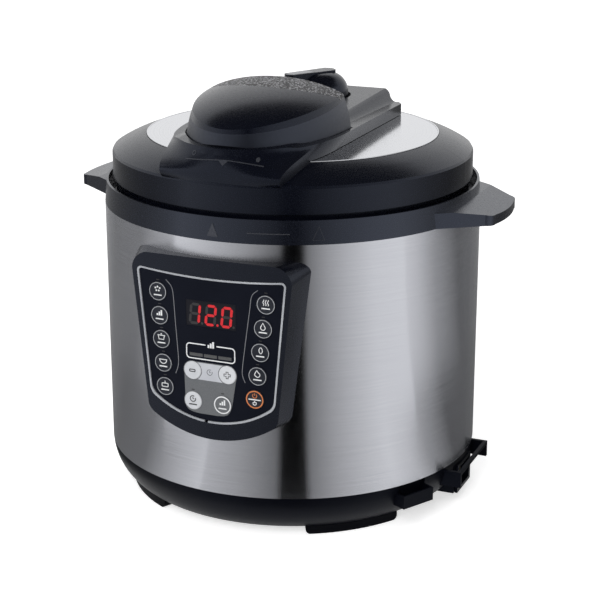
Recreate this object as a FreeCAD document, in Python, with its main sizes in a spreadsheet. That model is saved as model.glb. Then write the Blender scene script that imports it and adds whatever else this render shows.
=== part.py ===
import FreeCAD, Part
import math
import os
import Sketcher

# Electric pressure cooker of the six-litre class, in millimetres, lid closed and locked.
# Origin on the floor under the body's axis, +Z up, control panel towards -Y, side handles on +X and -X.

doc = FreeCAD.newDocument("pressure_cooker")
sheet = doc.addObject("Spreadsheet::Sheet", "Sizes")

DIMENSIONS = (
    ("foot_height", 6.0),
    ("foot_width", 18.0),
    ("foot_sweep", 33.4),
    ("foot_bearing", 43.7),
    ("base_depth", 27.0),
    ("base_taper", 14.8),
    ("base_wall", 3.0),
    ("cover_margin", 22.6),
    ("cover_wall", 1.8),
    ("shell_radius", 134.0),
    ("shell_wall", 0.8),
    ("shell_height", 177.5),
    ("ring_rise", 16.0),
    ("ring_draft", 1.2),
    ("rim_wall", 1.6),
    ("handle_over", 26.0),
    ("handle_root_half", 50.0),
    ("handle_tip_half", 26.5),
    ("handle_step", 5.5),
    ("handle_fall", 4.4),
    ("inlet_height", 17.3),
    ("inlet_width", 27.0),
    ("inlet_tall", 19.6),
    ("inlet_depth", 19.0),
    ("guard_over", 7.6),
    ("guard_half", 32.5),
    ("guard_wall", 2.6),
    ("guard_low", 19.0),
    ("guard_top", 30.5),
    ("pocket_bearing", 61.0),
    ("pocket_over", 6.2),
    ("pocket_depth", 8.0),
    ("pocket_width", 27.0),
    ("pocket_low", 18.0),
    ("pocket_top", 27.5),
    ("pocket_wall", 1.6),
    ("pot_room", 15.0),
    ("outer_pot_wall", 1.0),
    ("outer_pot_floor", 40.0),
    ("lug_step", 4.2),
    ("lug_depth", 2.9),
    ("lug_sweep", 21.0),
    ("lug_gap", 0.4),
    ("pot_gap", 9.0),
    ("inner_pot_wall", 1.6),
    ("pot_rim_width", 6.2),
    ("hot_plate_margin", 10.0),
    ("hot_plate_low", 52.0),
    ("hot_plate_thick", 6.0),
    ("element_tube", 4.4),
    ("probe_radius", 14.0),
    ("lid_clear", 5.0),
    ("lid_gap", 2.5),
    ("band_height", 18.5),
    ("shoulder_rise", 10.3),
    ("trim_margin", 24.6),
    ("trim_wall", 2.4),
    ("trim_stand", 0.5),
    ("spine_half", 53.0),
    ("spine_rear_margin", 17.2),
    ("crown_half", 38.0),
    ("crown_rise", 18.7),
    ("ledge_rise", 8.4),
    ("spine_rise", 13.9),
    ("spine_front_rise", 9.9),
    ("grip_rise", 8.5),
    ("grip_rear", 24.0),
    ("grip_margin", 14.8),
    ("grip_half", 52.0),
    ("grip_height", 32.0),
    ("grip_wall", 3.0),
    ("inlay_depth", 1.5),
    ("inlay_width", 30.0),
    ("valve_margin", 53.2),
    ("valve_radius", 21.0),
    ("valve_height", 18.6),
    ("lever_length", 28.0),
    ("lever_tail", 9.5),
    ("lever_half", 6.5),
    ("lever_wall", 2.6),
    ("lever_bearing", 30.0),
    ("float_side", 22.0),
    ("float_back", 20.0),
    ("float_travel", 6.0),
    ("panel_stand", 4.6),
    ("panel_bend", 1600.0),
    ("panel_drop", 11.3),
    ("panel_tall", 125.4),
    ("panel_half_top", 57.5),
    ("panel_half_low", 48.0),
    ("panel_draft", 15.7),
    ("hip_rise", 21.0),
    ("border_inset_side", 2.9),
    ("border_inset_top", 9.9),
    ("border_inset_low", 11.6),
    ("border_width", 1.3),
    ("border_sag", 2.9),
    ("ledge_width", 3.0),
    ("key_radius", 6.3),
    ("key_drop", 26.1),
    ("key_floor", 33.1),
    ("key_left", 38.5),
    ("key_left_step", 0.95),
    ("key_right", 39.5),
    ("key_right_step", 2.07),
    ("key_travel", 0.7),
    ("display_half", 18.0),
    ("display_drop", 28.9),
    ("display_tall", 17.9),
    ("fit_gap", 0.3),
    ("pin_gap", 0.08),
)


class Size:
    """A number that remembers how it was worked out from the sheet's cells."""

    def __init__(self, number, text=None):
        self.number = float(number)
        self.text = text if text else repr(float(number))

    def joined(self, other, sign, number, swapped=False):
        pair = (other.text, self.text) if swapped else (self.text, other.text)
        return Size(number, "(%s %s %s)" % (pair[0], sign, pair[1]))

    def __add__(self, other):
        other = size_of(other)
        return self.joined(other, "+", self.number + other.number)

    def __radd__(self, other):
        return size_of(other) + self

    def __sub__(self, other):
        other = size_of(other)
        return self.joined(other, "-", self.number - other.number)

    def __rsub__(self, other):
        return size_of(other) - self

    def __mul__(self, other):
        other = size_of(other)
        return self.joined(other, "*", self.number * other.number)

    def __rmul__(self, other):
        return size_of(other) * self

    def __truediv__(self, other):
        other = size_of(other)
        return self.joined(other, "/", self.number / other.number)

    def __neg__(self):
        return Size(-self.number, "(-1 * %s)" % self.text)


def size_of(value):
    return value if isinstance(value, Size) else Size(value)


def sine(angle):
    angle = size_of(angle)
    return Size(math.sin(math.radians(angle.number)), "sin(%s * 1 deg)" % angle.text)


def cosine(angle):
    angle = size_of(angle)
    return Size(math.cos(math.radians(angle.number)), "cos(%s * 1 deg)" % angle.text)


def arc_sine(ratio):
    return Size(math.degrees(math.asin(ratio.number)), "(asin(%s) / 1 deg)" % ratio.text)


def root(value):
    return Size(math.sqrt(value.number), "sqrt(%s)" % value.text)


class Sizes:
    """One attribute for each row of the sheet."""


def read_sheet():
    for row, (alias, value) in enumerate(DIMENSIONS, start=1):
        sheet.set("A%d" % row, alias)
        sheet.set("B%d" % row, str(value))
        sheet.setAlias("B%d" % row, alias)
    doc.recompute()
    sizes = Sizes()
    for alias, _ in DIMENSIONS:
        setattr(sizes, alias, Size(getattr(sheet, alias), "Sizes." + alias))
    return sizes


s = read_sheet()

# Heights that several pieces share
base_z = s.foot_height
shell_z = base_z + s.base_depth
ring_z = shell_z + s.shell_height
rim_z = ring_z + s.ring_rise
band_z = rim_z + s.lid_gap
crease_z = band_z + s.band_height
trim_rim_z = crease_z + s.shoulder_rise
trim_z = trim_rim_z + s.trim_stand
trim_seat_z = trim_z - s.trim_wall - 0.1
ring_floor_z = ring_z + 1.5
flange_z = ring_floor_z + 1.2
pan_flange_z = ring_z + 6.1
pan_wall = 1.4
pan_top_z = pan_flange_z + 22.6
pan_under_z = pan_top_z - pan_wall
pot_rim_z = ring_z - 2.5
hot_top_z = s.hot_plate_low + s.hot_plate_thick
pot_floor_z = s.outer_pot_floor + s.outer_pot_wall
grip_z = trim_rim_z + s.grip_rise

# Radii that several pieces share
shell_inner = s.shell_radius - s.shell_wall
base_low = s.shell_radius - s.base_taper
cover_radius = base_low - s.cover_margin
handle_reach = s.shell_radius + s.handle_over
guard_reach = s.shell_radius + s.guard_over
pocket_reach = s.shell_radius + s.pocket_over
outer_pot_radius = s.shell_radius - s.pot_room
lug_ring_radius = outer_pot_radius + s.lug_step
lug_wall = 1.0
lug_inner = lug_ring_radius - lug_wall - s.lug_depth
tab_outer = lug_inner - s.lug_gap
inner_pot_radius = outer_pot_radius - s.pot_gap
inner_pot_rim = inner_pot_radius + s.pot_rim_width
hot_plate_radius = inner_pot_radius - s.hot_plate_margin
element_radius = hot_plate_radius * 0.7
rim_radius = s.shell_radius - s.ring_draft
lid_radius = rim_radius - s.lid_clear
skirt_inner = lug_ring_radius + 0.6
trim_radius = lid_radius - s.trim_margin

# Places on the lid, measured from its axis
spine_rear = trim_radius - s.spine_rear_margin
grip_front = lid_radius - s.grip_margin
grip_length = grip_front - s.grip_rear
valve_back = trim_radius - s.valve_margin

# Heights and depth of the control panel
panel_face = s.shell_radius + s.panel_stand
panel_top = ring_z - s.panel_drop
panel_low = panel_top - s.panel_tall
key_top = panel_top - s.key_drop
key_pitch = (s.panel_tall - s.key_drop - s.key_floor) / 4.0
display_top = panel_top - s.display_drop
display_low = display_top - s.display_tall

nodes = {}


def bind(thing, path, value):
    """Give a property its size, tied to the sheet where the size comes from it."""
    value = size_of(value)
    if "Sizes." in value.text:
        thing.setExpression(path, value.text)


def set_size(thing, name, value):
    setattr(thing, name, size_of(value).number)
    bind(thing, name, value)


def place(thing, x=0.0, y=0.0, z=0.0, axis=(0, 0, 1), angle=0.0):
    spot = [size_of(value) for value in (x, y, z)]
    angle = size_of(angle)
    turn = FreeCAD.Rotation(FreeCAD.Vector(*axis), angle.number)
    thing.Placement = FreeCAD.Placement(FreeCAD.Vector(*[value.number for value in spot]), turn)
    for letter, value in zip("xyz", spot):
        bind(thing, ".Placement.Base." + letter, value)
    bind(thing, ".Placement.Rotation.Angle", angle)


def node(name, thing):
    thing.Label = name
    nodes[name] = thing
    return thing


# Solids from Part primitives

def box(name, length, width, height, **where):
    solid = doc.addObject("Part::Box", name)
    set_size(solid, "Length", length)
    set_size(solid, "Width", width)
    set_size(solid, "Height", height)
    place(solid, **where)
    return solid


def cylinder(name, radius, height, sweep=360.0, **where):
    solid = doc.addObject("Part::Cylinder", name)
    set_size(solid, "Radius", radius)
    set_size(solid, "Height", height)
    set_size(solid, "Angle", sweep)
    place(solid, **where)
    return solid


def ellipsoid(name, half_x, half_y, half_z, **where):
    solid = doc.addObject("Part::Ellipsoid", name)
    set_size(solid, "Radius1", half_z)
    set_size(solid, "Radius2", half_x)
    set_size(solid, "Radius3", half_y)
    place(solid, **where)
    return solid


def radial_box(name, inner, outer, width, low, high, bearing):
    """A box that points outwards; bearing is measured from the panel towards +X."""
    turn = size_of(bearing) - 90.0
    half = size_of(width) / 2.0
    x = inner * cosine(turn) + half * sine(turn)
    y = inner * sine(turn) - half * cosine(turn)
    return box(name, size_of(outer) - inner, width, size_of(high) - low, x=x, y=y, z=low, angle=turn)


def joined(name, *solids):
    result = doc.addObject("Part::MultiFuse", name)
    result.Shapes = list(solids)
    return result


def without(name, solid, *tools):
    result = doc.addObject("Part::Cut", name)
    result.Base = solid
    result.Tool = tools[0] if len(tools) == 1 else joined(name + "_tools", *tools)
    return result


def shared(name, *solids):
    result = doc.addObject("Part::MultiCommon", name)
    result.Shapes = list(solids)
    return result


def group(name, solids):
    result = doc.addObject("Part::Compound", name)
    result.Links = list(solids)
    return result


# Solids from sketches

def new_body(name):
    return doc.addObject("PartDesign::Body", name)


def new_sketch(body, name, plane, offset=0.0):
    sketch = body.newObject("Sketcher::SketchObject", name)
    support = [feature for feature in body.Origin.OriginFeatures if feature.Role == plane][0]
    sketch.AttachmentSupport = [(support, "")]
    sketch.MapMode = "FlatFace"
    offset = size_of(offset)
    sketch.AttachmentOffset = FreeCAD.Placement(FreeCAD.Vector(0, 0, offset.number), FreeCAD.Rotation())
    bind(sketch, ".AttachmentOffset.Base.z", offset)
    return sketch


def fix_coordinate(sketch, kind, element, end, value):
    """Hold one coordinate of a corner at its size, measured from the sketch's origin."""
    if value.number == 0.0:
        axis = -2 if kind == "DistanceX" else -1
        sketch.addConstraint(Sketcher.Constraint("PointOnObject", element, end, axis))
        return
    if value.number < 0.0:
        value = -value
        index = sketch.addConstraint(Sketcher.Constraint(kind, element, end, -1, 1, value.number))
    else:
        index = sketch.addConstraint(Sketcher.Constraint(kind, -1, 1, element, end, value.number))
    bind(sketch, "Constraints[%d]" % index, value)


def arc_between(start, end, radius, left):
    """The short arc from start to end, turning left or right."""
    chord = end - start
    lift = math.sqrt(max(radius * radius - chord.Length ** 2 / 4.0, 0.0))
    normal = FreeCAD.Vector(-chord.y, chord.x, 0).normalize()
    centre = (start + end) * 0.5 + normal * (lift if left else -lift)
    angles = [math.atan2(point.y - centre.y, point.x - centre.x) for point in (start, end)]
    circle = Part.Circle(centre, FreeCAD.Vector(0, 0, 1), radius)
    if not left:
        angles.reverse()
    return Part.ArcOfCircle(circle, *angles)


def bend_for(half_chord, rise):
    """Radius over chord of the arc that rises by this much over half its chord."""
    half_chord = size_of(half_chord).number
    rise = size_of(rise).number
    return (half_chord * half_chord + rise * rise) / (4.0 * rise * half_chord)


def outline(sketch, corners):
    """A closed outline. A corner is (x, y), or (x, y, bend) where an arc leaves it.

    The arc's radius is the bend times its chord, turning left when the bend is positive.
    """
    corners = [tuple(size_of(value) for value in corner[:2]) + tuple(corner[2:]) for corner in corners]
    points = [FreeCAD.Vector(corner[0].number, corner[1].number, 0) for corner in corners]
    starts, ends = [], []
    for index, corner in enumerate(corners):
        following = (index + 1) % len(corners)
        left = True
        if len(corner) == 2:
            element = sketch.addGeometry(Part.LineSegment(points[index], points[following]), False)
        else:
            left = corner[2] > 0
            across = corners[following][0] - corner[0]
            along = corners[following][1] - corner[1]
            radius = abs(corner[2]) * root(across * across + along * along)
            arc = arc_between(points[index], points[following], radius.number, left)
            element = sketch.addGeometry(arc, False)
            bend = sketch.addConstraint(Sketcher.Constraint("Radius", element, radius.number))
            bind(sketch, "Constraints[%d]" % bend, radius)
        starts.append((element, 1 if left else 2))
        ends.append((element, 2 if left else 1))
    for index, corner in enumerate(corners):
        following = starts[(index + 1) % len(corners)]
        sketch.addConstraint(Sketcher.Constraint("Coincident", *ends[index], *following))
        fix_coordinate(sketch, "DistanceX", *starts[index], corner[0])
        fix_coordinate(sketch, "DistanceY", *starts[index], corner[1])


def revolve(body, name, corners, kind="Revolution"):
    """Turn an outline of radius and height round the body's own Z axis."""
    sketch = new_sketch(body, name + "_profile", "XZ_Plane")
    outline(sketch, corners)
    feature = body.newObject("PartDesign::" + kind, name)
    feature.Profile = sketch
    feature.ReferenceAxis = (sketch, ["V_Axis"])
    feature.Angle = 360
    return feature


def extrude(body, name, outlines, depth, plane="XY_Plane", offset=0.0, backwards=False, kind="Pad"):
    sketch = new_sketch(body, name + "_outline", plane, offset)
    for corners in outlines:
        outline(sketch, corners)
    feature = body.newObject("PartDesign::" + kind, name)
    feature.Profile = sketch
    set_size(feature, "Length", depth)
    feature.Reversed = backwards
    return feature


def loft(body, name, plane, sections, kind="AdditiveLoft", ruled=False):
    """A form that runs through outlines at several offsets from a plane."""
    sketches = []
    for index, (offset, corners) in enumerate(sections):
        sketch = new_sketch(body, "%s_section_%d" % (name, index), plane, offset)
        outline(sketch, corners)
        sketches.append(sketch)
    feature = body.newObject("PartDesign::" + kind, name)
    feature.Profile = sketches[0]
    feature.Sections = sketches[1:]
    feature.Ruled = ruled
    return feature


def spread(body, name, feature, count):
    """Repeat a feature evenly round the Z axis."""
    pattern = body.newObject("PartDesign::PolarPattern", name)
    pattern.Originals = [feature]
    pattern.Axis = (feature.Profile[0], ["N_Axis"])
    pattern.Angle = 360
    pattern.Occurrences = count
    body.Tip = pattern
    return pattern


def turned(name, corners, **where):
    """A body made only by turning one outline."""
    body = new_body(name)
    revolve(body, name + "_turn", corners)
    place(body, **where)
    return body


def sector(inner, outer, sweep):
    """An annular piece centred on the +X axis, as a sketch outline."""
    half = size_of(sweep) / 2.0
    bend = 0.5 / math.sin(math.radians(half.number))
    return [
        (inner * cosine(half), -inner * sine(half)),
        (outer * cosine(half), -outer * sine(half), bend),
        (outer * cosine(half), outer * sine(half)),
        (inner * cosine(half), inner * sine(half), -bend),
    ]


# Base, feet and shell

screw_ring = cover_radius - 4.0
screw_bearings = (45.0, 135.0, 225.0, 315.0)
screw_radius = 1.9
inlet_face_x = base_low + 13.0


def around(radius, bearing):
    """Floor position at a bearing from the panel towards +X."""
    return radius * sine(bearing), -radius * cosine(bearing)


def base_holes(name, radius, low, height):
    holes = []
    for index, bearing in enumerate(screw_bearings):
        x, y = around(screw_ring, bearing)
        holes.append(cylinder("%s_%d" % (name, index), radius, height, x=x, y=y, z=low))
    return holes


def base_guard():
    """The frame that stands out round the power inlet: two walls and a bar across their ends."""
    inner = base_low + 5.0
    wall = s.guard_wall
    parts = []
    for side in (-1.0, 1.0):
        middle = side * (s.guard_half - wall / 2.0)
        parts.append(box("guard_wall", guard_reach - inner, wall, s.guard_top - s.guard_low,
                         x=inner, y=middle - wall / 2.0, z=s.guard_low))
    parts.append(box("guard_bar", wall, s.guard_half * 2.0, wall,
                     x=guard_reach - wall, y=-s.guard_half, z=s.guard_top - wall))
    return parts


def make_base():
    seat = base_z + 2.0
    deck = base_z + 5.0
    lip = 8.0
    upstand = shell_inner - 2.0 * s.fit_gap
    upstand_z = shell_z + 9.0
    bowl_bend = 1.1
    inside_low = base_low - s.base_wall
    inside_high = upstand - s.base_wall
    bowl = turned("base_bowl", [
        (cover_radius - lip, deck),
        (cover_radius - lip, seat),
        (cover_radius + s.fit_gap, seat),
        (cover_radius + s.fit_gap, base_z),
        (base_low, base_z, bowl_bend),
        (s.shell_radius - 0.2, shell_z),
        (upstand, shell_z),
        (upstand, upstand_z),
        (inside_high, upstand_z),
        (inside_high, shell_z + 1.0, -bowl_bend),
        (inside_low, deck),
    ])
    inside = turned("base_inside", [
        (0.0, deck),
        (inside_low, deck, bowl_bend),
        (inside_high, shell_z + 1.0),
        (0.0, shell_z + 1.0),
    ])
    pocket = radial_box("pocket_block", base_low, pocket_reach, s.pocket_width,
                        s.pocket_low, s.pocket_top, s.pocket_bearing)
    parts = [bowl, without("base_outworks", joined("base_added", pocket, *base_guard()), inside)]
    boss_wall = 5.0
    boss_half = s.inlet_width / 2.0 + boss_wall
    parts.append(box("inlet_boss", 16.0, boss_half * 2.0, s.base_depth - 2.0,
                     x=base_low - s.base_wall, y=-boss_half, z=base_z + 1.5))
    for index, bearing in enumerate(screw_bearings):
        x, y = around(screw_ring, bearing)
        parts.append(cylinder("screw_boss_%d" % index, 4.5, 6.0, x=x, y=y, z=deck))
    tall = s.inlet_tall + 0.2
    width = s.inlet_width + 0.2
    hollow_out = pocket_reach - s.pocket_wall
    cuts = [
        box("inlet_cut", 30.0, width, tall, x=base_low - 10.0, y=-width / 2.0,
            z=s.inlet_height - tall / 2.0),
        box("inlet_face_room", 12.0, s.inlet_width + 4.1, s.inlet_tall + 2.0, x=inlet_face_x,
            y=-s.inlet_width / 2.0 - 2.05, z=s.inlet_height - s.inlet_tall / 2.0 - 1.0),
        radial_box("pocket_hollow", hollow_out - s.pocket_depth, hollow_out,
                   s.pocket_width - 2.0 * s.pocket_wall, s.pocket_low + s.pocket_wall, shell_z,
                   s.pocket_bearing),
    ]
    cuts += base_holes("base_screw_hole", screw_radius + s.pin_gap, base_z, 9.0)
    node("base_housing", without("base_housing", joined("base_parts", *parts), *cuts))


board_post_x = 44.0
board_post_y = 28.0
board_post_rise = 6.4


def make_bottom_cover():
    body = new_body("bottom_cover_plate")
    revolve(body, "cover_disc", [
        (0.0, base_z),
        (cover_radius, base_z),
        (cover_radius, base_z + s.cover_wall),
        (0.0, base_z + s.cover_wall),
    ])
    slot_near = cover_radius * 0.6
    slot_far = cover_radius * 0.83
    slot_half = 2.0
    slot = extrude(body, "cover_slot", [[(slot_near, -slot_half), (slot_far, -slot_half),
                                         (slot_far, slot_half), (slot_near, slot_half)]],
                   s.cover_wall + 2.0, offset=base_z - 1.0, kind="Pocket", backwards=True)
    spread(body, "cover_slots", slot, 16)
    posts = []
    for x in (-board_post_x, board_post_x):
        for y in (-board_post_y, board_post_y):
            posts.append(cylinder("board_post", 3.0, board_post_rise, x=x, y=y, z=base_z + s.cover_wall))
    solid = joined("cover_with_posts", body, *posts)
    holes = base_holes("cover_screw_hole", screw_radius + s.pin_gap, base_z - 1.0, s.cover_wall + 2.0)
    node("bottom_cover", without("bottom_cover", solid, *holes))


def make_base_screws():
    head_radius = screw_radius * 1.9
    head_rise = 2.0
    screws = []
    for index, bearing in enumerate(screw_bearings):
        x, y = around(screw_ring, bearing)
        shank = cylinder("base_shank_%d" % index, screw_radius, 8.0, x=x, y=y, z=base_z)
        head = cylinder("base_head_%d" % index, head_radius, head_rise, x=x, y=y, z=base_z - head_rise)
        screws.append(joined("base_screw_%d" % index, shank, head))
    node("base_screws", group("base_screws", screws))


def sole_end_edges(shape):
    """Numbers of the straight edges on the floor, which are the two ends of a foot's sole."""
    numbers = []
    for number, edge in enumerate(shape.Edges, start=1):
        if edge.BoundBox.ZMax < 0.01 and isinstance(edge.Curve, Part.Line):
            numbers.append(number)
    return numbers


def make_feet():
    """Four curved feet, two towards the panel and two towards the rear, rounded at both ends of the sole."""
    outer_radius = base_low + 0.4
    inner_radius = outer_radius - s.foot_width
    end_round = s.foot_height.number * 0.6
    feet = []
    for index, (turn, side) in enumerate(((0.0, -1.0), (0.0, 1.0), (180.0, -1.0), (180.0, 1.0))):
        start = turn + side * s.foot_bearing - 90.0 - s.foot_sweep / 2.0
        outer = cylinder("foot_outer_%d" % index, outer_radius, base_z, sweep=s.foot_sweep, angle=start)
        inner = cylinder("foot_inner_%d" % index, inner_radius, base_z, sweep=s.foot_sweep, angle=start)
        block = without("foot_block_%d" % index, outer, inner)
        doc.recompute()
        foot = doc.addObject("Part::Fillet", "foot_%d" % index)
        foot.Base = block
        foot.Edges = [(number, end_round, end_round) for number in sole_end_edges(block.Shape)]
        feet.append(foot)
    node("feet", group("feet", feet))


def make_shell():
    outside = cylinder("shell_outside", s.shell_radius, s.shell_height, z=shell_z)
    inside = cylinder("shell_inside", shell_inner, s.shell_height, z=shell_z)
    half = s.panel_half_low - 4.0
    margin = 17.0
    window = box("shell_window", half * 2.0, s.shell_radius * 0.3, s.panel_tall - 2.0 * margin,
                 x=-half, y=-s.shell_radius - 5.0, z=panel_low + margin)
    node("outer_shell", without("outer_shell", outside, inside, window))


def side_handle(side):
    """Plan of one side handle, going anticlockwise on the +X side."""
    root_x = outer_pot_radius + 2.5
    tip_x = handle_reach - 2.8
    corner = 3.5
    corners = [
        (root_x, -s.handle_root_half - 2.0),
        (tip_x - 5.0, -s.handle_tip_half - corner, 0.75),
        (tip_x, -s.handle_tip_half + corner, 2.2),
        (tip_x, s.handle_tip_half - corner, 0.75),
        (tip_x - 5.0, s.handle_tip_half + corner),
        (root_x, s.handle_root_half + 2.0),
    ]
    if side > 0:
        return corners
    return [(-size_of(corner[0]), -size_of(corner[1])) + tuple(corner[2:]) for corner in corners]


def make_top_ring():
    body = new_body("top_ring")
    spigot = shell_inner - s.fit_gap
    spigot_inner = spigot - 3.0
    throat = outer_pot_radius + 1.6
    revolve(body, "ring_turn", [
        (throat, ring_floor_z - 2.0),
        (spigot_inner, ring_floor_z - 2.0),
        (spigot_inner, ring_z - 7.5),
        (spigot, ring_z - 7.5),
        (spigot, ring_z),
        (s.shell_radius, ring_z),
        (rim_radius, rim_z),
        (rim_radius - s.rim_wall, rim_z),
        (rim_radius - s.rim_wall, ring_floor_z),
        (throat, ring_floor_z),
    ])
    top = rim_z - s.handle_step
    extrude(body, "side_handles", [side_handle(1.0), side_handle(-1.0)], top - ring_z, offset=ring_z)
    slope = []
    for side in (1.0, -1.0):
        near = side * (s.shell_radius + s.fit_gap)
        far = side * (handle_reach + 8.0)
        slope.append([(near, top), (far, top - s.handle_fall * 1.25), (far, top + 3.0), (near, top + 3.0)])
    slope_half = s.handle_root_half * 1.4
    extrude(body, "handle_slope", slope, slope_half * 2.0, plane="XZ_Plane", offset=-slope_half,
            kind="Pocket", backwards=True)
    inside = cylinder("ring_inside", rim_radius - s.rim_wall, s.ring_rise, z=ring_floor_z)
    under = cylinder("ring_under", spigot_inner, 1.0, z=ring_z - 1.0)
    node("top_ring", without("top_ring_trimmed", body, inside, under))


# Pots and heating

def make_outer_pot():
    body = new_body("outer_pot")
    floor = s.outer_pot_floor
    inner = outer_pot_radius - s.outer_pot_wall
    hook = lug_ring_radius - lug_wall
    lug_top = flange_z + 8.6
    lug_thick = 1.4
    turn = 8.0
    neck = 7.5
    flange = rim_radius - s.rim_wall - 2.2
    revolve(body, "outer_pot_turn", [
        (neck, floor),
        (outer_pot_radius - turn, floor, 0.72),
        (outer_pot_radius, floor + turn),
        (outer_pot_radius, ring_floor_z),
        (flange, ring_floor_z),
        (flange, flange_z),
        (lug_ring_radius, flange_z),
        (lug_ring_radius, lug_top),
        (hook, lug_top),
        (hook, flange_z),
        (inner, flange_z),
        (inner, floor + turn, -0.72),
        (outer_pot_radius - turn, pot_floor_z),
        (neck, pot_floor_z),
    ])
    lug = extrude(body, "bayonet_lug", [sector(lug_inner, hook + 0.5, s.lug_sweep)], lug_thick,
                  offset=lug_top - lug_thick)
    spread(body, "bayonet_lugs", lug, 8)
    holes = []
    for side in (-1.0, 1.0):
        x, y = element_end(side)
        holes.append(cylinder("terminal_hole", s.element_tube + 0.8, 6.0, x=x, y=y, z=floor - 2.0))
    node("outer_pot", without("outer_pot_pierced", body, *holes))


def make_inner_pot():
    low = hot_top_z + s.fit_gap
    wall = s.inner_pot_wall
    inner = inner_pot_radius - wall
    turn = 14.0
    node("inner_pot", turned("inner_pot", [
        (0.0, low),
        (inner_pot_radius - turn, low, 0.72),
        (inner_pot_radius, low + turn),
        (inner_pot_radius, pot_rim_z - wall),
        (inner_pot_rim, pot_rim_z - wall),
        (inner_pot_rim, pot_rim_z),
        (inner, pot_rim_z),
        (inner, low + turn, -0.72),
        (inner_pot_radius - turn, low + wall),
        (0.0, low + wall),
    ]))


element_gap_half = 14.0


def element_end(side):
    """Where one end of the open heating loop turns down, behind the axis."""
    turn = size_of(90.0 + side * element_gap_half)
    return element_radius * cosine(turn), element_radius * sine(turn)


def make_heating():
    plate = turned("heating_disc", [
        (s.probe_radius + 2.5, s.hot_plate_low),
        (hot_plate_radius, s.hot_plate_low),
        (hot_plate_radius, hot_top_z - 1.5),
        (hot_plate_radius - 2.0, hot_top_z),
        (s.probe_radius + 2.5, hot_top_z),
    ])
    legs = []
    for index in range(3):
        x, y = around(hot_plate_radius - 12.0, 60.0 + 120.0 * index)
        legs.append(cylinder("plate_leg_%d" % index, 4.0, s.hot_plate_low - pot_floor_z,
                             x=x, y=y, z=pot_floor_z))
    node("heating_plate", joined("heating_plate", plate, *legs))

    loop_z = s.hot_plate_low - s.element_tube - 0.1
    loop = doc.addObject("Part::Torus", "element_loop")
    set_size(loop, "Radius1", element_radius)
    set_size(loop, "Radius2", s.element_tube)
    set_size(loop, "Angle3", 360.0 - 2.0 * element_gap_half)
    place(loop, z=loop_z, angle=90.0 + element_gap_half)
    ends = []
    drop = loop_z - s.outer_pot_floor + 10.0
    for side in (-1.0, 1.0):
        x, y = element_end(side)
        ends.append(cylinder("element_terminal", s.element_tube - 0.6, drop, x=x, y=y, z=loop_z - drop))
    node("heating_element", joined("heating_element", loop, *ends))


def coil_gap(radius, height, turns, wire):
    """Least gap between neighbouring turns of a coil, measured on points along its middle line."""
    per_turn = 48
    points = []
    for step in range(int(turns * per_turn) + 1):
        angle = 2.0 * math.pi * step / per_turn
        rise = height * step / (turns * per_turn)
        points.append(FreeCAD.Vector(radius * math.cos(angle), radius * math.sin(angle), rise))
    far_apart = per_turn // 2
    pairs = [(i, j) for i in range(len(points)) for j in range(i + far_apart, len(points))]
    return min(points[i].distanceToPoint(points[j]) for i, j in pairs) - 2.0 * wire


def arc_from(start, heading, end):
    """The arc that leaves start along heading and reaches end."""
    chord = end - start
    aside = chord - heading * chord.dot(heading)
    radius = chord.dot(chord) / (2.0 * aside.Length)
    centre = start + aside.normalize() * radius
    middle = centre + ((start - centre) + (end - centre)).normalize() * radius
    return Part.Arc(start, middle, end).toShape()


def coil_path(radius, height, turns):
    """A helix as pairs of arcs, one pair for each quarter turn, with its start point and heading."""
    steps = int(turns * 4)
    rise = height / (turns * 2.0 * math.pi)
    points, headings = [], []
    for step in range(steps + 1):
        angle = 0.5 * math.pi * step
        points.append(FreeCAD.Vector(radius * math.cos(angle), radius * math.sin(angle), rise * angle))
        heading = FreeCAD.Vector(-radius * math.sin(angle), radius * math.cos(angle), rise)
        headings.append(heading.normalize())
    edges = []
    for step in range(steps):
        across = points[step + 1] - points[step]
        both = headings[step] + headings[step + 1]
        spread_now = 2.0 * (1.0 - headings[step].dot(headings[step + 1]))
        along = across.dot(both)
        reach = (math.sqrt(along * along + spread_now * across.dot(across)) - along) / spread_now
        lean = (headings[step] - headings[step + 1]) * reach
        joint = (points[step] + points[step + 1] + lean) * 0.5
        edges.append(arc_from(points[step], headings[step], joint))
        back = arc_from(points[step + 1], headings[step + 1] * -1.0, joint)
        edges.append(Part.Arc(joint, back.valueAt((back.FirstParameter + back.LastParameter) / 2.0),
                              points[step + 1]).toShape())
    return Part.Wire(edges), points[0], headings[0]


def make_probe():
    cap_low = s.hot_plate_low + 0.5
    stem = 6.0
    clip_top = s.outer_pot_floor - 2.0
    node("sensor_probe", turned("sensor_probe", [
        (0.0, clip_top - 4.0),
        (stem, clip_top - 4.0),
        (stem, clip_top - 2.0),
        (stem + 2.5, clip_top - 2.0),
        (stem + 2.5, clip_top),
        (stem, clip_top),
        (stem, cap_low),
        (s.probe_radius, cap_low),
        (s.probe_radius, hot_top_z - 1.0),
        (s.probe_radius - 1.0, hot_top_z - 0.1),
        (0.0, hot_top_z - 0.1),
    ]))
    wire = 0.8
    coil = s.probe_radius - 3.5
    turns = 3.0
    height = cap_low - pot_floor_z - 2.0 * wire - 0.4
    print("sensor_spring least gap %.2f mm" % coil_gap(coil.number, height.number, turns, wire))
    path, start, heading = coil_path(coil.number, height.number, turns)
    section = Part.Wire(Part.Edge(Part.Circle(start, heading, wire)))
    spring = doc.addObject("Part::Feature", "sensor_spring")
    spring.Shape = path.makePipeShell([section], True, False)
    place(spring, z=pot_floor_z + wire + 0.2)
    node("sensor_spring", spring)


# Electrics in the base

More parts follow.
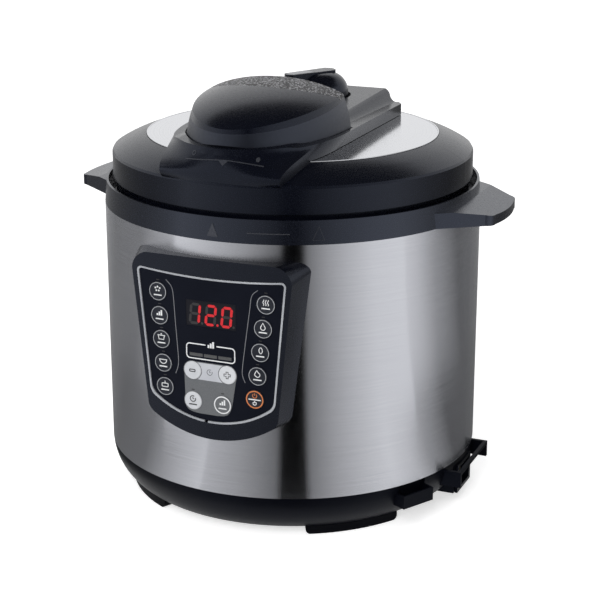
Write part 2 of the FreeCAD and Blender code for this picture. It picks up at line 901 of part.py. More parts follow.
def make_electrics():
    board_z = base_z + s.cover_wall + board_post_rise
    board_wall = 1.6
    half_x = board_post_x + 6.0
    half_y = board_post_y + 6.0
    board = box("power_board_plate", half_x * 2.0, half_y * 2.0, board_wall, x=-half_x, y=-half_y, z=board_z)
    top = board_z + board_wall
    blocks = [
        box("transformer", 26.0, 22.0, 15.0, x=-42.0, y=-26.0, z=top),
        box("relay", 19.0, 15.0, 13.0, x=-4.0, y=-27.0, z=top),
        box("terminal_block", 16.0, 30.0, 10.0, x=30.0, y=-15.0, z=top),
        cylinder("smoothing_capacitor", 6.0, 14.0, x=-30.0, y=18.0, z=top),
        cylinder("small_capacitor", 4.0, 11.0, x=0.0, y=20.0, z=top),
    ]
    node("power_board", joined("power_board", board, *blocks))

    floor = s.outer_pot_floor
    case = box("switch_case", 24.0, 14.0, 9.0, x=52.0, y=34.0, z=floor - 9.0)
    tongue = cylinder("switch_adjuster", 2.5, 3.0, x=64.0, y=41.0, z=floor - 12.0)
    node("pressure_switch", joined("pressure_switch", case, tongue))

    fuse = cylinder("fuse_tube", 3.0, 22.0, x=-62.0, y=40.0, z=floor - 3.0, axis=(0, 1, 0), angle=90.0)
    node("thermal_fuse", fuse)

    outer_x = base_low + 11.0
    inner_x = outer_x - s.inlet_depth
    half = s.inlet_width / 2.0
    low = s.inlet_height - s.inlet_tall / 2.0
    body = box("inlet_body", s.inlet_depth, s.inlet_width, s.inlet_tall, x=inner_x, y=-half, z=low)
    face = box("inlet_face", 2.0, s.inlet_width + 3.5, s.inlet_tall + 1.4,
               x=inlet_face_x, y=-half - 1.75, z=low - 0.7)
    neck = box("inlet_neck", 4.0, s.inlet_width, s.inlet_tall, x=outer_x - 1.0, y=-half, z=low)
    cavity = box("inlet_cavity", s.inlet_depth, s.inlet_width - 3.6, s.inlet_tall - 3.6,
                 x=inner_x + 4.5, y=-half + 1.8, z=low + 1.8)
    pins = []
    slots = []
    for index, (y, z) in enumerate(((-7.0, -2.0), (7.0, -2.0), (0.0, 2.0))):
        spot = dict(x=inner_x - 6.0, y=y - 1.0, z=s.inlet_height + z - 2.0)
        pins.append(box("inlet_pin_%d" % index, 24.0, 2.0, 4.0, **spot))
        slots.append(box("inlet_slot_%d" % index, 24.0, 2.0, 4.0, **spot))
    solid = joined("inlet_solid", body, neck, face)
    node("power_inlet", without("power_inlet", solid, cavity, *slots))
    node("inlet_pins", group("inlet_pins", pins))


# Control panel

panel_centre_y = s.panel_bend - panel_face
panel_hip = panel_low + s.hip_rise


def panel_side(z):
    """Half width of the panel's face at a height; its sides lean outwards to the top."""
    share = (z - panel_hip) / (panel_top - panel_hip)
    return s.panel_half_low + (s.panel_half_top - s.panel_half_low) * share


def panel_outline(side_inset, top_inset, low_inset, round_top, sag=0.0):
    """The panel's shield seen from the front, drawn in by the given amounts, its top edge sagging."""
    top = panel_top - top_inset
    low = panel_low + low_inset
    hip = low + s.hip_rise
    half_top = panel_side(top) - side_inset
    half_hip = panel_side(hip) - side_inset
    chin = half_hip - 3.8
    chin_rise = 13.8
    corner = 0.75
    top_edge = (half_top - round_top, top)
    if sag:
        top_edge += (-bend_for(half_top - round_top, sag),)
    return [
        (-chin, low + chin_rise, bend_for(chin, chin_rise)),
        (chin, low + chin_rise, 1.15),
        (half_hip, hip),
        (half_top, top - round_top, corner),
        top_edge,
        (-half_top + round_top, top, corner),
        (-half_top, top - round_top),
        (-half_hip, hip, 1.15),
    ]


def panel_slab(name, insets, round_top, inner_bend, outer_bend):
    """A slab with the border's outline between two bends of the panel's bowed face."""
    ahead = 4.0
    body = new_body(name + "_block")
    extrude(body, name + "_outline", [panel_outline(*insets, round_top, s.border_sag)], panel_face * 0.45,
            plane="XZ_Plane", offset=panel_face + ahead, backwards=True)
    margin = 30.0
    low = panel_low - margin
    tall = s.panel_tall + 2.0 * margin
    outer = cylinder(name + "_front", outer_bend, tall, y=panel_centre_y, z=low)
    slab = shared(name + "_bent", body, outer)
    if inner_bend is None:
        return slab
    inner = cylinder(name + "_back", inner_bend, tall, y=panel_centre_y, z=low)
    return without(name, slab, inner)


def panel_pod():
    """The moulding that carries the panel: a loft that widens from its face back to the shell."""
    edge_back = s.panel_bend - root(s.panel_bend * s.panel_bend - s.panel_half_top * s.panel_half_top)
    flare = sine(s.panel_draft) / cosine(s.panel_draft)
    body = new_body("panel_pod_block")
    sections = []
    for depth, round_top in ((-4.0, 13.0), (36.0, 3.0)):
        sections.append((panel_face - depth, panel_outline((edge_back - depth) * flare, 0.0, 0.0, round_top)))
    loft(body, "panel_pod_loft", "XZ_Plane", sections, ruled=True)
    front = cylinder("panel_pod_face", s.panel_bend, panel_top, y=panel_centre_y, z=panel_low - 30.0)
    return shared("panel_pod", body, front)


border_insets = (s.border_inset_side, s.border_inset_top, s.border_inset_low)


def border_inset(extra):
    return tuple(inset + extra for inset in border_insets)


def panel_point(x, bend):
    """Floor position at a given bend, square behind the face point at x."""
    share = x / s.panel_bend
    return share * bend, panel_centre_y - root(1.0 - share * share) * bend


def key_positions():
    """Name, side position and height of every key."""
    left = ("rice", "soup", "beans", "cake", "reheat")
    right = ("meat", "fish", "steam", "stew", "cancel")
    keys = []
    for row in range(5):
        height = key_top - key_pitch * row
        keys.append(("key_" + left[row], -(s.key_left - s.key_left_step * row), height))
        keys.append(("key_" + right[row], s.key_right - s.key_right_step * row, height))
    upper_drop = 2.3
    lower_drop = 7.3
    upper = key_top - key_pitch * 3.0 - upper_drop
    lower = key_top - key_pitch * 4.0 - lower_drop
    keys.append(("key_minus", -13.9 / 18.0 * s.display_half, upper))
    keys.append(("key_plus", 11.6 / 18.0 * s.display_half, upper))
    keys.append(("key_time", -13.9 / 18.0 * s.display_half, lower))
    keys.append(("key_level", 7.9 / 18.0 * s.display_half, lower))
    return keys


key_flange = 0.9
overlay_skin = 0.5
overlay_wall = 2.0
board_face = panel_face - 13.0
switch_tall = 4.0


def key_axis_place(body, x, z, bend=s.panel_bend):
    """Stand a body made round Z square to the panel at x, its origin at the given bend."""
    tilt = arc_sine(x / s.panel_bend)
    spot = panel_point(x, bend)
    place(body, x=spot[0], y=spot[1], z=z)
    lie = FreeCAD.Rotation(FreeCAD.Vector(1, 0, 0), 90.0)
    swing = FreeCAD.Rotation(FreeCAD.Vector(0, 0, 1), tilt.number)
    body.Placement = FreeCAD.Placement(body.Placement.Base, swing.multiply(lie))


def make_keys():
    """Keys are turned about their own axis: outwards is +Z before they are placed."""
    back = -(overlay_skin + overlay_wall)
    for name, x, z in key_positions():
        stem_end = -panel_face + board_face + switch_tall + 2.0 * s.key_travel
        reach = s.panel_bend - root(s.panel_bend * s.panel_bend - x * x)
        key = turned(name, [
            (0.0, stem_end + reach),
            (2.2, stem_end + reach),
            (2.2, back - 0.2 - key_flange),
            (s.key_radius + key_flange, back - 0.2 - key_flange),
            (s.key_radius + key_flange, back - 0.2),
            (s.key_radius, back - 0.2),
            (s.key_radius, Size(-0.3)),
            (s.key_radius - 0.5, Size(0.1)),
            (0.0, Size(0.1)),
        ])
        key_axis_place(key, x, z)
        node(name, key)


def key_holes(radius, behind, depth):
    """Round holes square to the panel, one for each key, starting behind its face."""
    holes = []
    for name, x, z in key_positions():
        hole = cylinder(name + "_hole", radius, depth)
        key_axis_place(hole, x, z, s.panel_bend - behind)
        holes.append(hole)
    return holes


def make_panel():
    face = s.panel_bend
    seat = face - overlay_skin - overlay_wall
    pod = panel_pod()
    shell_core = cylinder("panel_shell_core", s.shell_radius, rim_z)
    recess = panel_slab("panel_recess", border_insets, 3.0, seat, face + 3.0)
    opening = panel_slab("panel_opening", border_inset(s.border_width + s.ledge_width), 2.0, None, face + 3.0)
    flange_room = key_holes(s.key_radius + key_flange + 2.0 * s.fit_gap, 12.0, 12.0)
    node("panel_frame", without("panel_frame", pod, shell_core, recess, opening, *flange_room))

    ring = panel_slab("border_ring", border_inset(0.1), 3.0, seat + 0.05, face + 0.3)
    hole = panel_slab("border_hole", border_inset(s.border_width), 2.0, seat - 1.0, face + 2.0)
    notch_half = 1.3
    notch = box("border_notch", notch_half * 2.0, 12.0, 6.0, x=-s.border_width - 3.0 - notch_half,
                y=-panel_face - 6.0, z=panel_low + s.border_inset_low - 1.0)
    node("panel_border", without("panel_border", ring, hole, notch))

    skin = panel_slab("overlay_skin", border_inset(s.border_width + s.fit_gap / 2.0), 2.0,
                      seat + 0.05, face - overlay_skin)
    window = box("display_hole", s.display_half * 2.0, 30.0, s.display_tall,
                 x=-s.display_half, y=-panel_face - 5.0, z=display_low)
    node("panel_overlay", without("panel_overlay", skin, window,
                                  *key_holes(s.key_radius + s.fit_gap, 6.0, 12.0)))

    gap = s.fit_gap / 2.0
    glass_half = s.display_half - gap
    glass_block = box("display_block", glass_half * 2.0, 30.0, s.display_tall - 2.0 * gap,
                      x=-glass_half, y=-panel_face - 5.0, z=display_low + gap)
    outer = cylinder("display_front", face - overlay_skin - 0.1, s.panel_tall, y=panel_centre_y, z=panel_low)
    behind = box("display_behind", s.display_half * 4.0, panel_face * 0.4, s.panel_tall,
                 x=s.display_half * -2.0, y=-board_face, z=panel_low)
    node("led_display", without("led_display", shared("display_bent", glass_block, outer), behind))


def make_control_board():
    half = s.panel_half_low - 8.0
    margin = 21.0
    board_wall = 1.6
    board = box("control_plate", half * 2.0, board_wall, s.panel_tall - 2.0 * margin,
                x=-half, y=-board_face, z=panel_low + margin)
    switch_half = 2.5
    switches = []
    for name, x, z in key_positions():
        middle = panel_point(x, s.panel_bend - panel_face + board_face)[0]
        switches.append(box(name + "_switch", switch_half * 2.0, switch_tall + 0.2, switch_half * 2.0,
                            x=middle - switch_half, y=-board_face - switch_tall, z=z - switch_half))
    node("control_board", joined("control_board", board, *switches))


# Lid

groove_width = 0.4
trim_edge = trim_radius + groove_width
trim_ledge = 6.0
top_clear = 0.3
valve_bore_radius = 8.0
float_bore_radius = 4.2

# Height over the plate's rim, then how far a section's side, tip and front stand in from the lid's edge
SPINE_SECTIONS = (
    (-11.8, -2.5, 43.8, -10.6, 8.3, 1.0),
    (4.7, 1.8, 87.8, -5.0, 27.8, 4.4),
    (13.2, 5.0, 96.8, 0.8, 54.8, 8.8),
    (19.2, 7.0, 99.8, 4.0, 65.8, 11.3),
)
crown_rear_y = spine_rear + 14.0
crown_front_y = -(s.grip_rear + 16.0)


def spine_plan(side_out, side_back, tip_out, tip_back, front_back):
    """Plan of the spine at one height, from its rear end along one side to the front of the lid."""
    half = s.spine_half
    side = half + side_out
    tip = half + tip_out
    side_y = -(lid_radius - side_back)
    tip_y = -(lid_radius - tip_back)
    front_bend = bend_for(tip, tip_back - front_back)
    flank_bend = 3.0
    return [
        (half - 4.0, spine_rear),
        (-half + 4.0, spine_rear),
        (-half, spine_rear - 6.0),
        (-side, side_y, flank_bend),
        (-tip, tip_y, front_bend),
        (tip, tip_y, flank_bend),
        (side, side_y),
        (half, spine_rear - 6.0),
    ]


def crown_profile(crown, ledge, bend):
    """Front view of the space above the spine: a raised middle, an S-shaped fall and a ledge each side."""
    high = trim_rim_z + 50.0
    far = s.spine_half + 24.0
    inner = s.crown_half
    middle = inner + 4.0
    foot = inner + 8.0
    half_way = (crown + ledge) / 2.0
    return [
        (-far, ledge),
        (-foot, ledge, bend),
        (-middle, half_way, -bend),
        (-inner, crown),
        (inner, crown, -bend),
        (middle, half_way, bend),
        (foot, ledge),
        (far, ledge),
        (far, high),
        (-far, high),
    ]


def crown_z(y):
    """Height of the spine's raised middle behind the grip, which climbs towards the rear."""
    share = (y - crown_front_y) / (crown_rear_y - crown_front_y)
    return trim_rim_z + s.spine_rise + (s.crown_rise - s.spine_rise) * share


def make_lid_cover():
    body = new_body("lid_moulding")
    skirt_outer = skirt_inner + 1.8
    wall = 2.4
    inside = lid_radius - wall - 1.0
    shoulder_bend = 3.4
    ledge_z = trim_seat_z - 2.5
    revolve(body, "lid_turn", [
        (skirt_inner, pan_flange_z - 0.6),
        (skirt_outer, pan_flange_z - 0.6),
        (skirt_outer, band_z),
        (lid_radius, band_z),
        (lid_radius, crease_z - 1.6),
        (lid_radius - 0.8, crease_z, shoulder_bend),
        (trim_edge, trim_rim_z),
        (trim_edge, trim_seat_z),
        (trim_edge - trim_ledge, trim_seat_z),
        (trim_edge - trim_ledge, ledge_z),
        (trim_edge + 2.0, ledge_z, -shoulder_bend),
        (inside, crease_z - 3.0),
        (inside, band_z + wall),
        (skirt_inner, band_z + wall),
    ])
    sections = [(trim_rim_z + row[0], spine_plan(*row[1:])) for row in SPINE_SECTIONS]
    loft(body, "spine", "XY_Plane", sections)
    front_z = trim_rim_z + s.spine_front_rise
    middle_z = trim_rim_z + s.spine_rise
    loft(body, "spine_top", "XZ_Plane", [
        (-crown_rear_y, crown_profile(trim_rim_z + s.crown_rise, trim_rim_z + s.ledge_rise, 1.0)),
        (-crown_front_y, crown_profile(middle_z, middle_z - 3.0, 2.0)),
        (lid_radius + 12.0, crown_profile(front_z, front_z, 8.0)),
    ], kind="SubtractiveLoft", ruled=True)
    revolve(body, "trim_room", [
        (0.0, band_z),
        (trim_edge - trim_ledge, band_z),
        (trim_edge - trim_ledge, trim_seat_z),
        (trim_edge, trim_seat_z),
        (trim_edge, trim_z + top_clear),
        (0.0, trim_z + top_clear),
    ], kind="Groove")

    recess = grip_block("grip_recess", 1.2, grip_z - top_clear)
    seat = cylinder("valve_seat_cut", s.valve_radius + 2.0, s.valve_height * 2.0,
                    y=valve_back, z=valve_z() - 0.5)
    holes = lid_bores("cover") + lid_screw_holes("cover")
    node("lid_cover", without("lid_cover", body, recess, seat, *holes))


def lid_bores(name):
    """Ways through the lid's top for the steam pipe and the float pin."""
    depth = 60.0
    low = trim_z - depth / 3.0
    return [
        cylinder(name + "_valve_bore", valve_bore_radius, depth, y=valve_back, z=low),
        cylinder(name + "_float_bore", float_bore_radius, depth, x=-s.float_side, y=s.float_back, z=low),
    ]


def make_trim_plate():
    rounding = 1.0
    disc = turned("trim_disc", [
        (0.0, trim_z - s.trim_wall),
        (trim_radius, trim_z - s.trim_wall),
        (trim_radius, trim_z - rounding, 0.72),
        (trim_radius - rounding, trim_z),
        (0.0, trim_z),
    ])
    node("trim_plate", without("trim_plate", disc, *lid_bores("trim"), *lid_screw_holes("trim")))


pipe_radius = 5.0
float_radius = 3.5


def make_lid_pan():
    body = new_body("pan_pressing")
    neck = inner_pot_radius - 4.0
    turn_z = pan_flange_z + 14.0
    revolve(body, "pan_turn", [
        (0.0, pan_under_z),
        (neck - 18.0, pan_under_z, -0.72),
        (neck - 2.0, turn_z),
        (neck, pan_flange_z),
        (tab_outer - 2.0, pan_flange_z),
        (tab_outer - 2.0, pan_flange_z + pan_wall),
        (neck + pan_wall, pan_flange_z + pan_wall),
        (neck - 0.6, turn_z + 0.4, 0.72),
        (neck - 17.4, pan_top_z),
        (0.0, pan_top_z),
    ])
    tab = extrude(body, "pan_tab", [sector(tab_outer - 3.0, tab_outer, s.lug_sweep)], pan_wall,
                  offset=pan_flange_z)
    spread(body, "pan_tabs", tab, 8)
    low = pan_top_z - 10.0
    bore = cylinder("pan_bore", pipe_radius + s.pin_gap, 20.0, y=valve_back, z=low)
    float_bore = cylinder("pan_float_bore", float_radius + s.pin_gap + 0.05, 20.0,
                          x=-s.float_side, y=s.float_back, z=low)
    node("lid_pan", without("lid_pan", body, bore, float_bore, *lid_screw_holes("pan")))


def make_seals():
    low = pot_rim_z + 0.4
    inner = inner_pot_radius - s.inner_pot_wall - 0.6
    node("sealing_ring", turned("sealing_ring", [
        (inner, low + 1.6),
        (inner + 2.4, low),
        (inner_pot_rim, low),
        (inner_pot_rim, low + 2.0),
        (inner + 4.0, low + 4.0),
        (inner_pot_rim, low + 6.0),
        (inner_pot_rim, pan_flange_z - 0.3),
        (inner, pan_flange_z - 0.3),
    ]))
    node("seal_carrier", turned("seal_carrier", [
        (inner - 3.0, low + 0.6),
        (inner - s.fit_gap, low + 0.6),
        (inner - s.fit_gap, pan_flange_z - 0.05),
        (inner - 1.6, pan_flange_z - 0.05),
        (inner - 1.6, low + 1.8),
        (inner - 3.0, low + 1.8),
    ]))


screw_side = s.grip_half * 0.385
screw_near = -(s.grip_rear + grip_length * 0.315)
screw_far = -(s.grip_rear + grip_length * 0.72)
lid_screw_spots = ((-screw_side, screw_near), (screw_side, screw_near), (Size(0.0), screw_far))
lid_screw_radius = 2.5


def lid_screw_holes(name):
    holes = []
    for index, (x, y) in enumerate(lid_screw_spots):
        radius = lid_screw_radius + s.pin_gap
        holes.append(cylinder("%s_screw_hole_%d" % (name, index), radius, 60.0, x=x, y=y, z=pan_top_z - 12.0))
    return holes


def make_lid_screws():
    head_rise = 2.6
    screws = []
    for index, (x, y) in enumerate(lid_screw_spots):
        shank = cylinder("lid_shank_%d" % index, lid_screw_radius, grip_z + 8.0 - pan_under_z,
                         x=x, y=y, z=pan_under_z)
        head = cylinder("lid_head_%d" % index, lid_screw_radius * 2.0, head_rise, x=x, y=y,
                        z=pan_under_z - head_rise)
        screws.append(joined("lid_screw_%d" % index, shank, head))
    node("lid_screws", group("lid_screws", screws))


# Lid handle

grip_middle = s.grip_rear + grip_length * 0.09
grip_span = s.grip_half * 4.0
dome_z = grip_z + 6.0


def grip_block(name, gap, low):
    """The upright band that carries the handle, rounded in plan and cut off square at the rear."""
    taper_z = s.grip_height * 2.3
    block = ellipsoid(name + "_form", s.grip_half * 1.045 + gap, (grip_front - grip_middle) * 1.05 + gap,
                      taper_z + gap, y=-grip_middle, z=grip_z - s.grip_height / 3.0)
    keep = box(name + "_keep", grip_span, grip_span, s.grip_height * 2.0, x=grip_span / -2.0,
               y=gap - s.grip_rear - grip_span, z=low)
    return shared(name, block, keep)


def seam_tool(name, lift):
    """Everything above the seam between the band and the dome, which climbs towards the rear."""
    seam_rise = s.grip_height * 0.31
    slope = 7.0
    return box(name, grip_span, grip_span, s.grip_height * 2.0, x=grip_span / -2.0, y=-grip_front - 6.0,
               z=grip_z + seam_rise + lift, axis=(1, 0, 0), angle=slope)


def dome(name, shrink):
    back = s.grip_rear - 10.0
    return ellipsoid(name, s.grip_half * 1.25 - shrink, (grip_front - back) * 1.03 - shrink,
                     s.grip_height - 4.0 - shrink, y=-back, z=dome_z)


def grip_form(name, shrink):
    """The handle's outside, or the same form drawn in by a wall."""
    return shared(name, grip_block(name + "_band", -shrink, grip_z), dome(name + "_dome", shrink))


def inlay_zone(name, gap):
    """The crescent along the dome's rear edge that holds the grained inlay."""
    bow = s.grip_half * 1.32
    return cylinder(name, bow - gap, s.grip_height * 3.0, y=bow - s.grip_rear - s.inlay_width,
                    z=grip_z - s.grip_height)


def make_lid_handle():
    base = without("handle_base", grip_form("base_form", 0.0), seam_tool("base_seam", 0.0),
                   *lid_screw_holes("grip"))
    node("handle_base", base)

    whole = shared("cap_whole", grip_form("cap_form", 0.0), seam_tool("cap_seam", 0.0))
    hollow = shared("cap_hollow", grip_form("cap_inside", s.grip_wall + 1.0),
                    seam_tool("cap_hollow_seam", -1.0))
    inlay_cut = without("inlay_cut", inlay_zone("inlay_cut_zone", 0.0), dome("inlay_cut_core", s.inlay_depth))
    node("handle_shell", without("handle_shell", whole, hollow, inlay_cut))

    sheet_form = shared("inlay_form", grip_form("inlay_outer", 0.0), seam_tool("inlay_seam", 0.0),
                        inlay_zone("inlay_zone", s.fit_gap / 2.0))
    node("handle_grip", without("handle_grip", sheet_form, dome("inlay_core", s.inlay_depth - 0.02)))


# Valves

def valve_z():
    """Flat seat of the steam valve, let into the climbing top of the spine."""
    return crown_z(valve_back - s.valve_radius) - 1.2


def lever_plan(inset):
    """Plan of the valve's lever, or of the inlay in its top."""
    tip = -s.lever_length + inset
    tip_half = s.lever_half - 1.5 - inset
    root_half = s.lever_half - inset
    return tip, tip_half, root_half


def make_lever(seat, top):
    """The lever: a level plate that thickens into a web where it meets the knob."""
    body = new_body("valve_paddle")
    low = seat + s.valve_height * 0.64
    tip, tip_half, root_half = lever_plan(0.0)
    extrude(body, "paddle_plan", [[
        (-tip_half, tip, 0.62),
        (tip_half, tip),
        (root_half, s.lever_tail, 0.62),
        (-root_half, s.lever_tail),
    ]], top - low, offset=low)
    beyond = s.lever_length + s.lever_half
    web = s.valve_radius * 0.7
    extrude(body, "paddle_under", [[
        (-beyond, seat),
        (-web, seat),
        (-web - 2.0, low + 1.0),
        (-s.lever_length, top - s.lever_wall),
        (-beyond, top - s.lever_wall),
    ]], beyond * 2.0, plane="YZ_Plane", offset=-beyond, kind="Pocket", backwards=True)
    return body


def lever_inlay(name, inset, low, depth):
    body = new_body(name)
    tip, tip_half, root_half = lever_plan(inset)
    near = -s.lever_length * 0.25 - inset
    extrude(body, name + "_plan", [[
        (-tip_half, tip, 0.62),
        (tip_half, tip),
        (root_half - 0.5, near),
        (-root_half + 0.5, near),
    ]], depth, offset=low)
    place(body, y=valve_back, angle=-s.lever_bearing)
    return body


def make_steam_valve():
    seat = valve_z()
    bore = pipe_radius + s.pin_gap
    radius = s.valve_radius
    cap_z = seat + s.valve_height
    bore_top = seat + 13.0
    knob = turned("valve_turn_body", [
        (bore, seat),
        (radius, seat),
        (radius, seat + 4.5, 0.74),
        (radius * 0.38, cap_z),
        (0.0, cap_z),
        (0.0, bore_top),
        (bore, bore_top),
    ], y=valve_back)
    top = cap_z + 1.2
    lever = make_lever(seat, top)
    place(lever, y=valve_back, angle=-s.lever_bearing)
    pipe_room = cylinder("knob_pipe_room", bore, bore_top - seat, y=valve_back, z=seat)
    inlay_depth = 0.9
    inlay_room = lever_inlay("lever_inlay_room", 1.2, top - inlay_depth, inlay_depth + 1.0)
    solid = joined("valve_solid", knob, lever)
    node("steam_valve", without("steam_valve", solid, pipe_room, inlay_room))
    node("valve_trim", lever_inlay("valve_trim", 1.3, top - inlay_depth + 0.05, inlay_depth + 0.05))

    nut_radius = 7.4
    nut_z = pan_top_z + 0.1
    pipe_bore = 2.0
    node("exhaust_pipe", turned("exhaust_pipe", [
        (pipe_bore, pan_top_z - 10.0),
        (pipe_radius, pan_top_z - 10.0),
        (pipe_radius, nut_z),
        (nut_radius, nut_z),
        (nut_radius, nut_z + 4.9),
        (pipe_radius, nut_z + 4.9),
        (pipe_radius, seat + 10.0),
        (pipe_bore + 1.0, seat + 12.5),
        (pipe_bore, seat + 12.5),
    ], y=valve_back))
    cup = 11.0
    cup_wall = 1.0
    cup_low = pan_under_z - 16.0
    node("steam_shield", turned("steam_shield", [
        (0.0, cup_low),
        (cup, cup_low),
        (cup, pan_under_z - 0.05),
        (cup - cup_wall, pan_under_z - 0.05),
        (cup - cup_wall, cup_low + cup_wall),
        (0.0, cup_low + cup_wall),
    ], y=valve_back))


def make_float():
    top = crown_z(s.float_back) - 1.4
    head = pan_under_z - s.float_travel - 2.2
    head_radius = 6.0
    seal_gap = 0.02
    spot = dict(x=-s.float_side, y=s.float_back)
    node("float_valve", turned("float_valve", [
        (0.0, head - 2.6),
        (head_radius, head - 2.6),
        (head_radius, head),
        (float_radius, head),
        (float_radius, top - 0.6),
        (float_radius - 0.6, top),
        (0.0, top),
    ], **spot))
    node("float_seal", turned("float_seal", [
        (float_radius + seal_gap, head + seal_gap),
        (head_radius - 0.6, head + seal_gap),
        (head_radius - 0.6, head + 1.8),
        (float_radius + seal_gap, head + 1.8),
    ], **spot))


make_base()
make_bottom_cover()
make_base_screws()
make_feet()
make_shell()
make_top_ring()
make_outer_pot()
make_inner_pot()
make_heating()
make_probe()
make_electrics()
make_panel()
make_keys()
make_control_board()
make_lid_cover()
make_trim_plate()
make_lid_pan()
make_seals()
make_lid_screws()
make_lid_handle()
make_steam_valve()
make_float()
doc.recompute()


def check_and_write():
    broken = [item.Name for item in doc.Objects if "Invalid" in item.State or "Error" in item.State]
    for name, thing in nodes.items():
        if thing.Shape.isNull() or not thing.Shape.isValid() or not thing.Shape.Solids:
            broken.append(name)
    if broken:
        raise RuntimeError("these pieces did not build: " + ", ".join(broken))
    os.makedirs("parts", exist_ok=True)
    for name, thing in nodes.items():
        thing.Shape.exportStep("parts/%s.step" % name)
        box_now = thing.Shape.BoundBox
        print("%-16s solids %d volume %9.0f box %7.1f %7.1f %7.1f  %7.1f %7.1f %7.1f" % (
            name, len(thing.Shape.Solids), thing.Shape.Volume, box_now.XMin, box_now.YMin, box_now.ZMin,
            box_now.XMax, box_now.YMax, box_now.ZMax))


check_and_write()
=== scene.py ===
import math
import bmesh
import bpy
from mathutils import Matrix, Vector
from mathutils.bvhtree import BVHTree


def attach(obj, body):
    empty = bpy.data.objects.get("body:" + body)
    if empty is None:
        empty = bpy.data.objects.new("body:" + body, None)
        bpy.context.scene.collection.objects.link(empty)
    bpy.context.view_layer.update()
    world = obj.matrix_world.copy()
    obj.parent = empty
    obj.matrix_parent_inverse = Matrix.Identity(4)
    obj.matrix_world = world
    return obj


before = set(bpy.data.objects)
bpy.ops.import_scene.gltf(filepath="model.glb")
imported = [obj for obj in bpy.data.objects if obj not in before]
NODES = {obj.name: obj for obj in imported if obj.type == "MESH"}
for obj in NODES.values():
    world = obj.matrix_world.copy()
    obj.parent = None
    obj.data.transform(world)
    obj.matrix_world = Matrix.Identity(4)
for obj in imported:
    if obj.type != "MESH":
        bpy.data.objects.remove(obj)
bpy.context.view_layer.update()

MM = 0.001

# Sizes shared with the solids, in millimetres
PANEL_BEND = 1600.0
PANEL_FACE = 138.6
PANEL_AXIS_Y = PANEL_BEND - PANEL_FACE
OVERLAY_SINK = 0.5
KEY_RISE = 0.1
KEY_RADIUS = 6.3
KEY_PITCH = 16.55
KEY_TOP = 173.1
KEY_LEFT = -38.5
KEY_LEFT_STEP = 0.95
KEY_RIGHT = 39.5
KEY_RIGHT_STEP = -2.07
RING_LOW_RADIUS = 134.0
RING_HIGH_RADIUS = 132.8
RING_LOW = 210.5
RING_HIGH = 226.5
INK = 0.12


# Materials

COOL_SHEEN = (0.7, 0.78, 1.0)


def new_material(name):
    material = bpy.data.materials.new(name)
    material.use_nodes = True
    tree = material.node_tree
    return material, tree, tree.nodes["Principled BSDF"]


def coordinates(tree, stretch):
    """Object coordinates in metres, stretched along each axis."""
    source = tree.nodes.new("ShaderNodeTexCoord")
    mapping = tree.nodes.new("ShaderNodeMapping")
    mapping.inputs["Scale"].default_value = stretch
    tree.links.new(source.outputs["Object"], mapping.inputs["Vector"])
    return mapping.outputs["Vector"]


def noise(tree, vector, scale, detail=3.0):
    node = tree.nodes.new("ShaderNodeTexNoise")
    node.inputs["Scale"].default_value = scale
    node.inputs["Detail"].default_value = detail
    tree.links.new(vector, node.inputs["Vector"])
    return node.outputs["Fac"]


def colour_ramp(tree, factor, stops):
    ramp = tree.nodes.new("ShaderNodeValToRGB")
    elements = ramp.color_ramp.elements
    while len(elements) < len(stops):
        elements.new(0.5)
    for element, (position, colour) in zip(elements, stops):
        element.position = position
        element.color = (*colour, 1.0)
    tree.links.new(factor, ramp.inputs["Fac"])
    return ramp.outputs["Color"]


def value_range(tree, factor, low, high):
    node = tree.nodes.new("ShaderNodeMapRange")
    node.inputs["From Min"].default_value = 0.3
    node.inputs["From Max"].default_value = 0.7
    node.inputs["To Min"].default_value = low
    node.inputs["To Max"].default_value = high
    tree.links.new(factor, node.inputs["Value"])
    return node.outputs["Result"]


def add_bump(tree, shader, height, strength, distance):
    node = tree.nodes.new("ShaderNodeBump")
    node.inputs["Strength"].default_value = strength
    node.inputs["Distance"].default_value = distance
    tree.links.new(height, node.inputs["Height"])
    tree.links.new(node.outputs["Normal"], shader.inputs["Normal"])


def plastic(name, dark, light, rough, grain=900.0, depth=0.00002, gloss=0.5):
    """Moulded plastic: faint cloudiness, uneven gloss and a fine moulded grain."""
    material, tree, shader = new_material(name)
    where = coordinates(tree, (1.0, 1.0, 1.0))
    cloud = noise(tree, where, 35.0)
    fine = noise(tree, where, grain, 2.0)
    tree.links.new(colour_ramp(tree, cloud, ((0.35, dark), (0.65, light))), shader.inputs["Base Color"])
    tree.links.new(value_range(tree, fine, rough - 0.05, rough + 0.05), shader.inputs["Roughness"])
    shader.inputs["Specular Tint"].default_value = (*COOL_SHEEN, 1.0)
    shader.inputs["Specular IOR Level"].default_value = gloss
    add_bump(tree, shader, fine, 0.25, depth)
    return material


def metal(name, dark, light, rough, stretch, scale, anisotropic=0.0, turn=0.0, depth=0.00001):
    """Metal with fine tool lines along the axes that are stretched least."""
    material, tree, shader = new_material(name)
    where = coordinates(tree, stretch)
    lines = noise(tree, where, scale, 4.0)
    tree.links.new(colour_ramp(tree, lines, ((0.3, dark), (0.7, light))), shader.inputs["Base Color"])
    tree.links.new(value_range(tree, lines, rough - 0.04, rough + 0.04), shader.inputs["Roughness"])
    shader.inputs["Metallic"].default_value = 1.0
    if anisotropic:
        tangent = tree.nodes.new("ShaderNodeTangent")
        tangent.direction_type = "RADIAL"
        tangent.axis = "Z"
        shader.inputs["Anisotropic"].default_value = anisotropic
        shader.inputs["Anisotropic Rotation"].default_value = turn
        tree.links.new(tangent.outputs["Tangent"], shader.inputs["Tangent"])
    add_bump(tree, shader, lines, 0.2, depth)
    return material


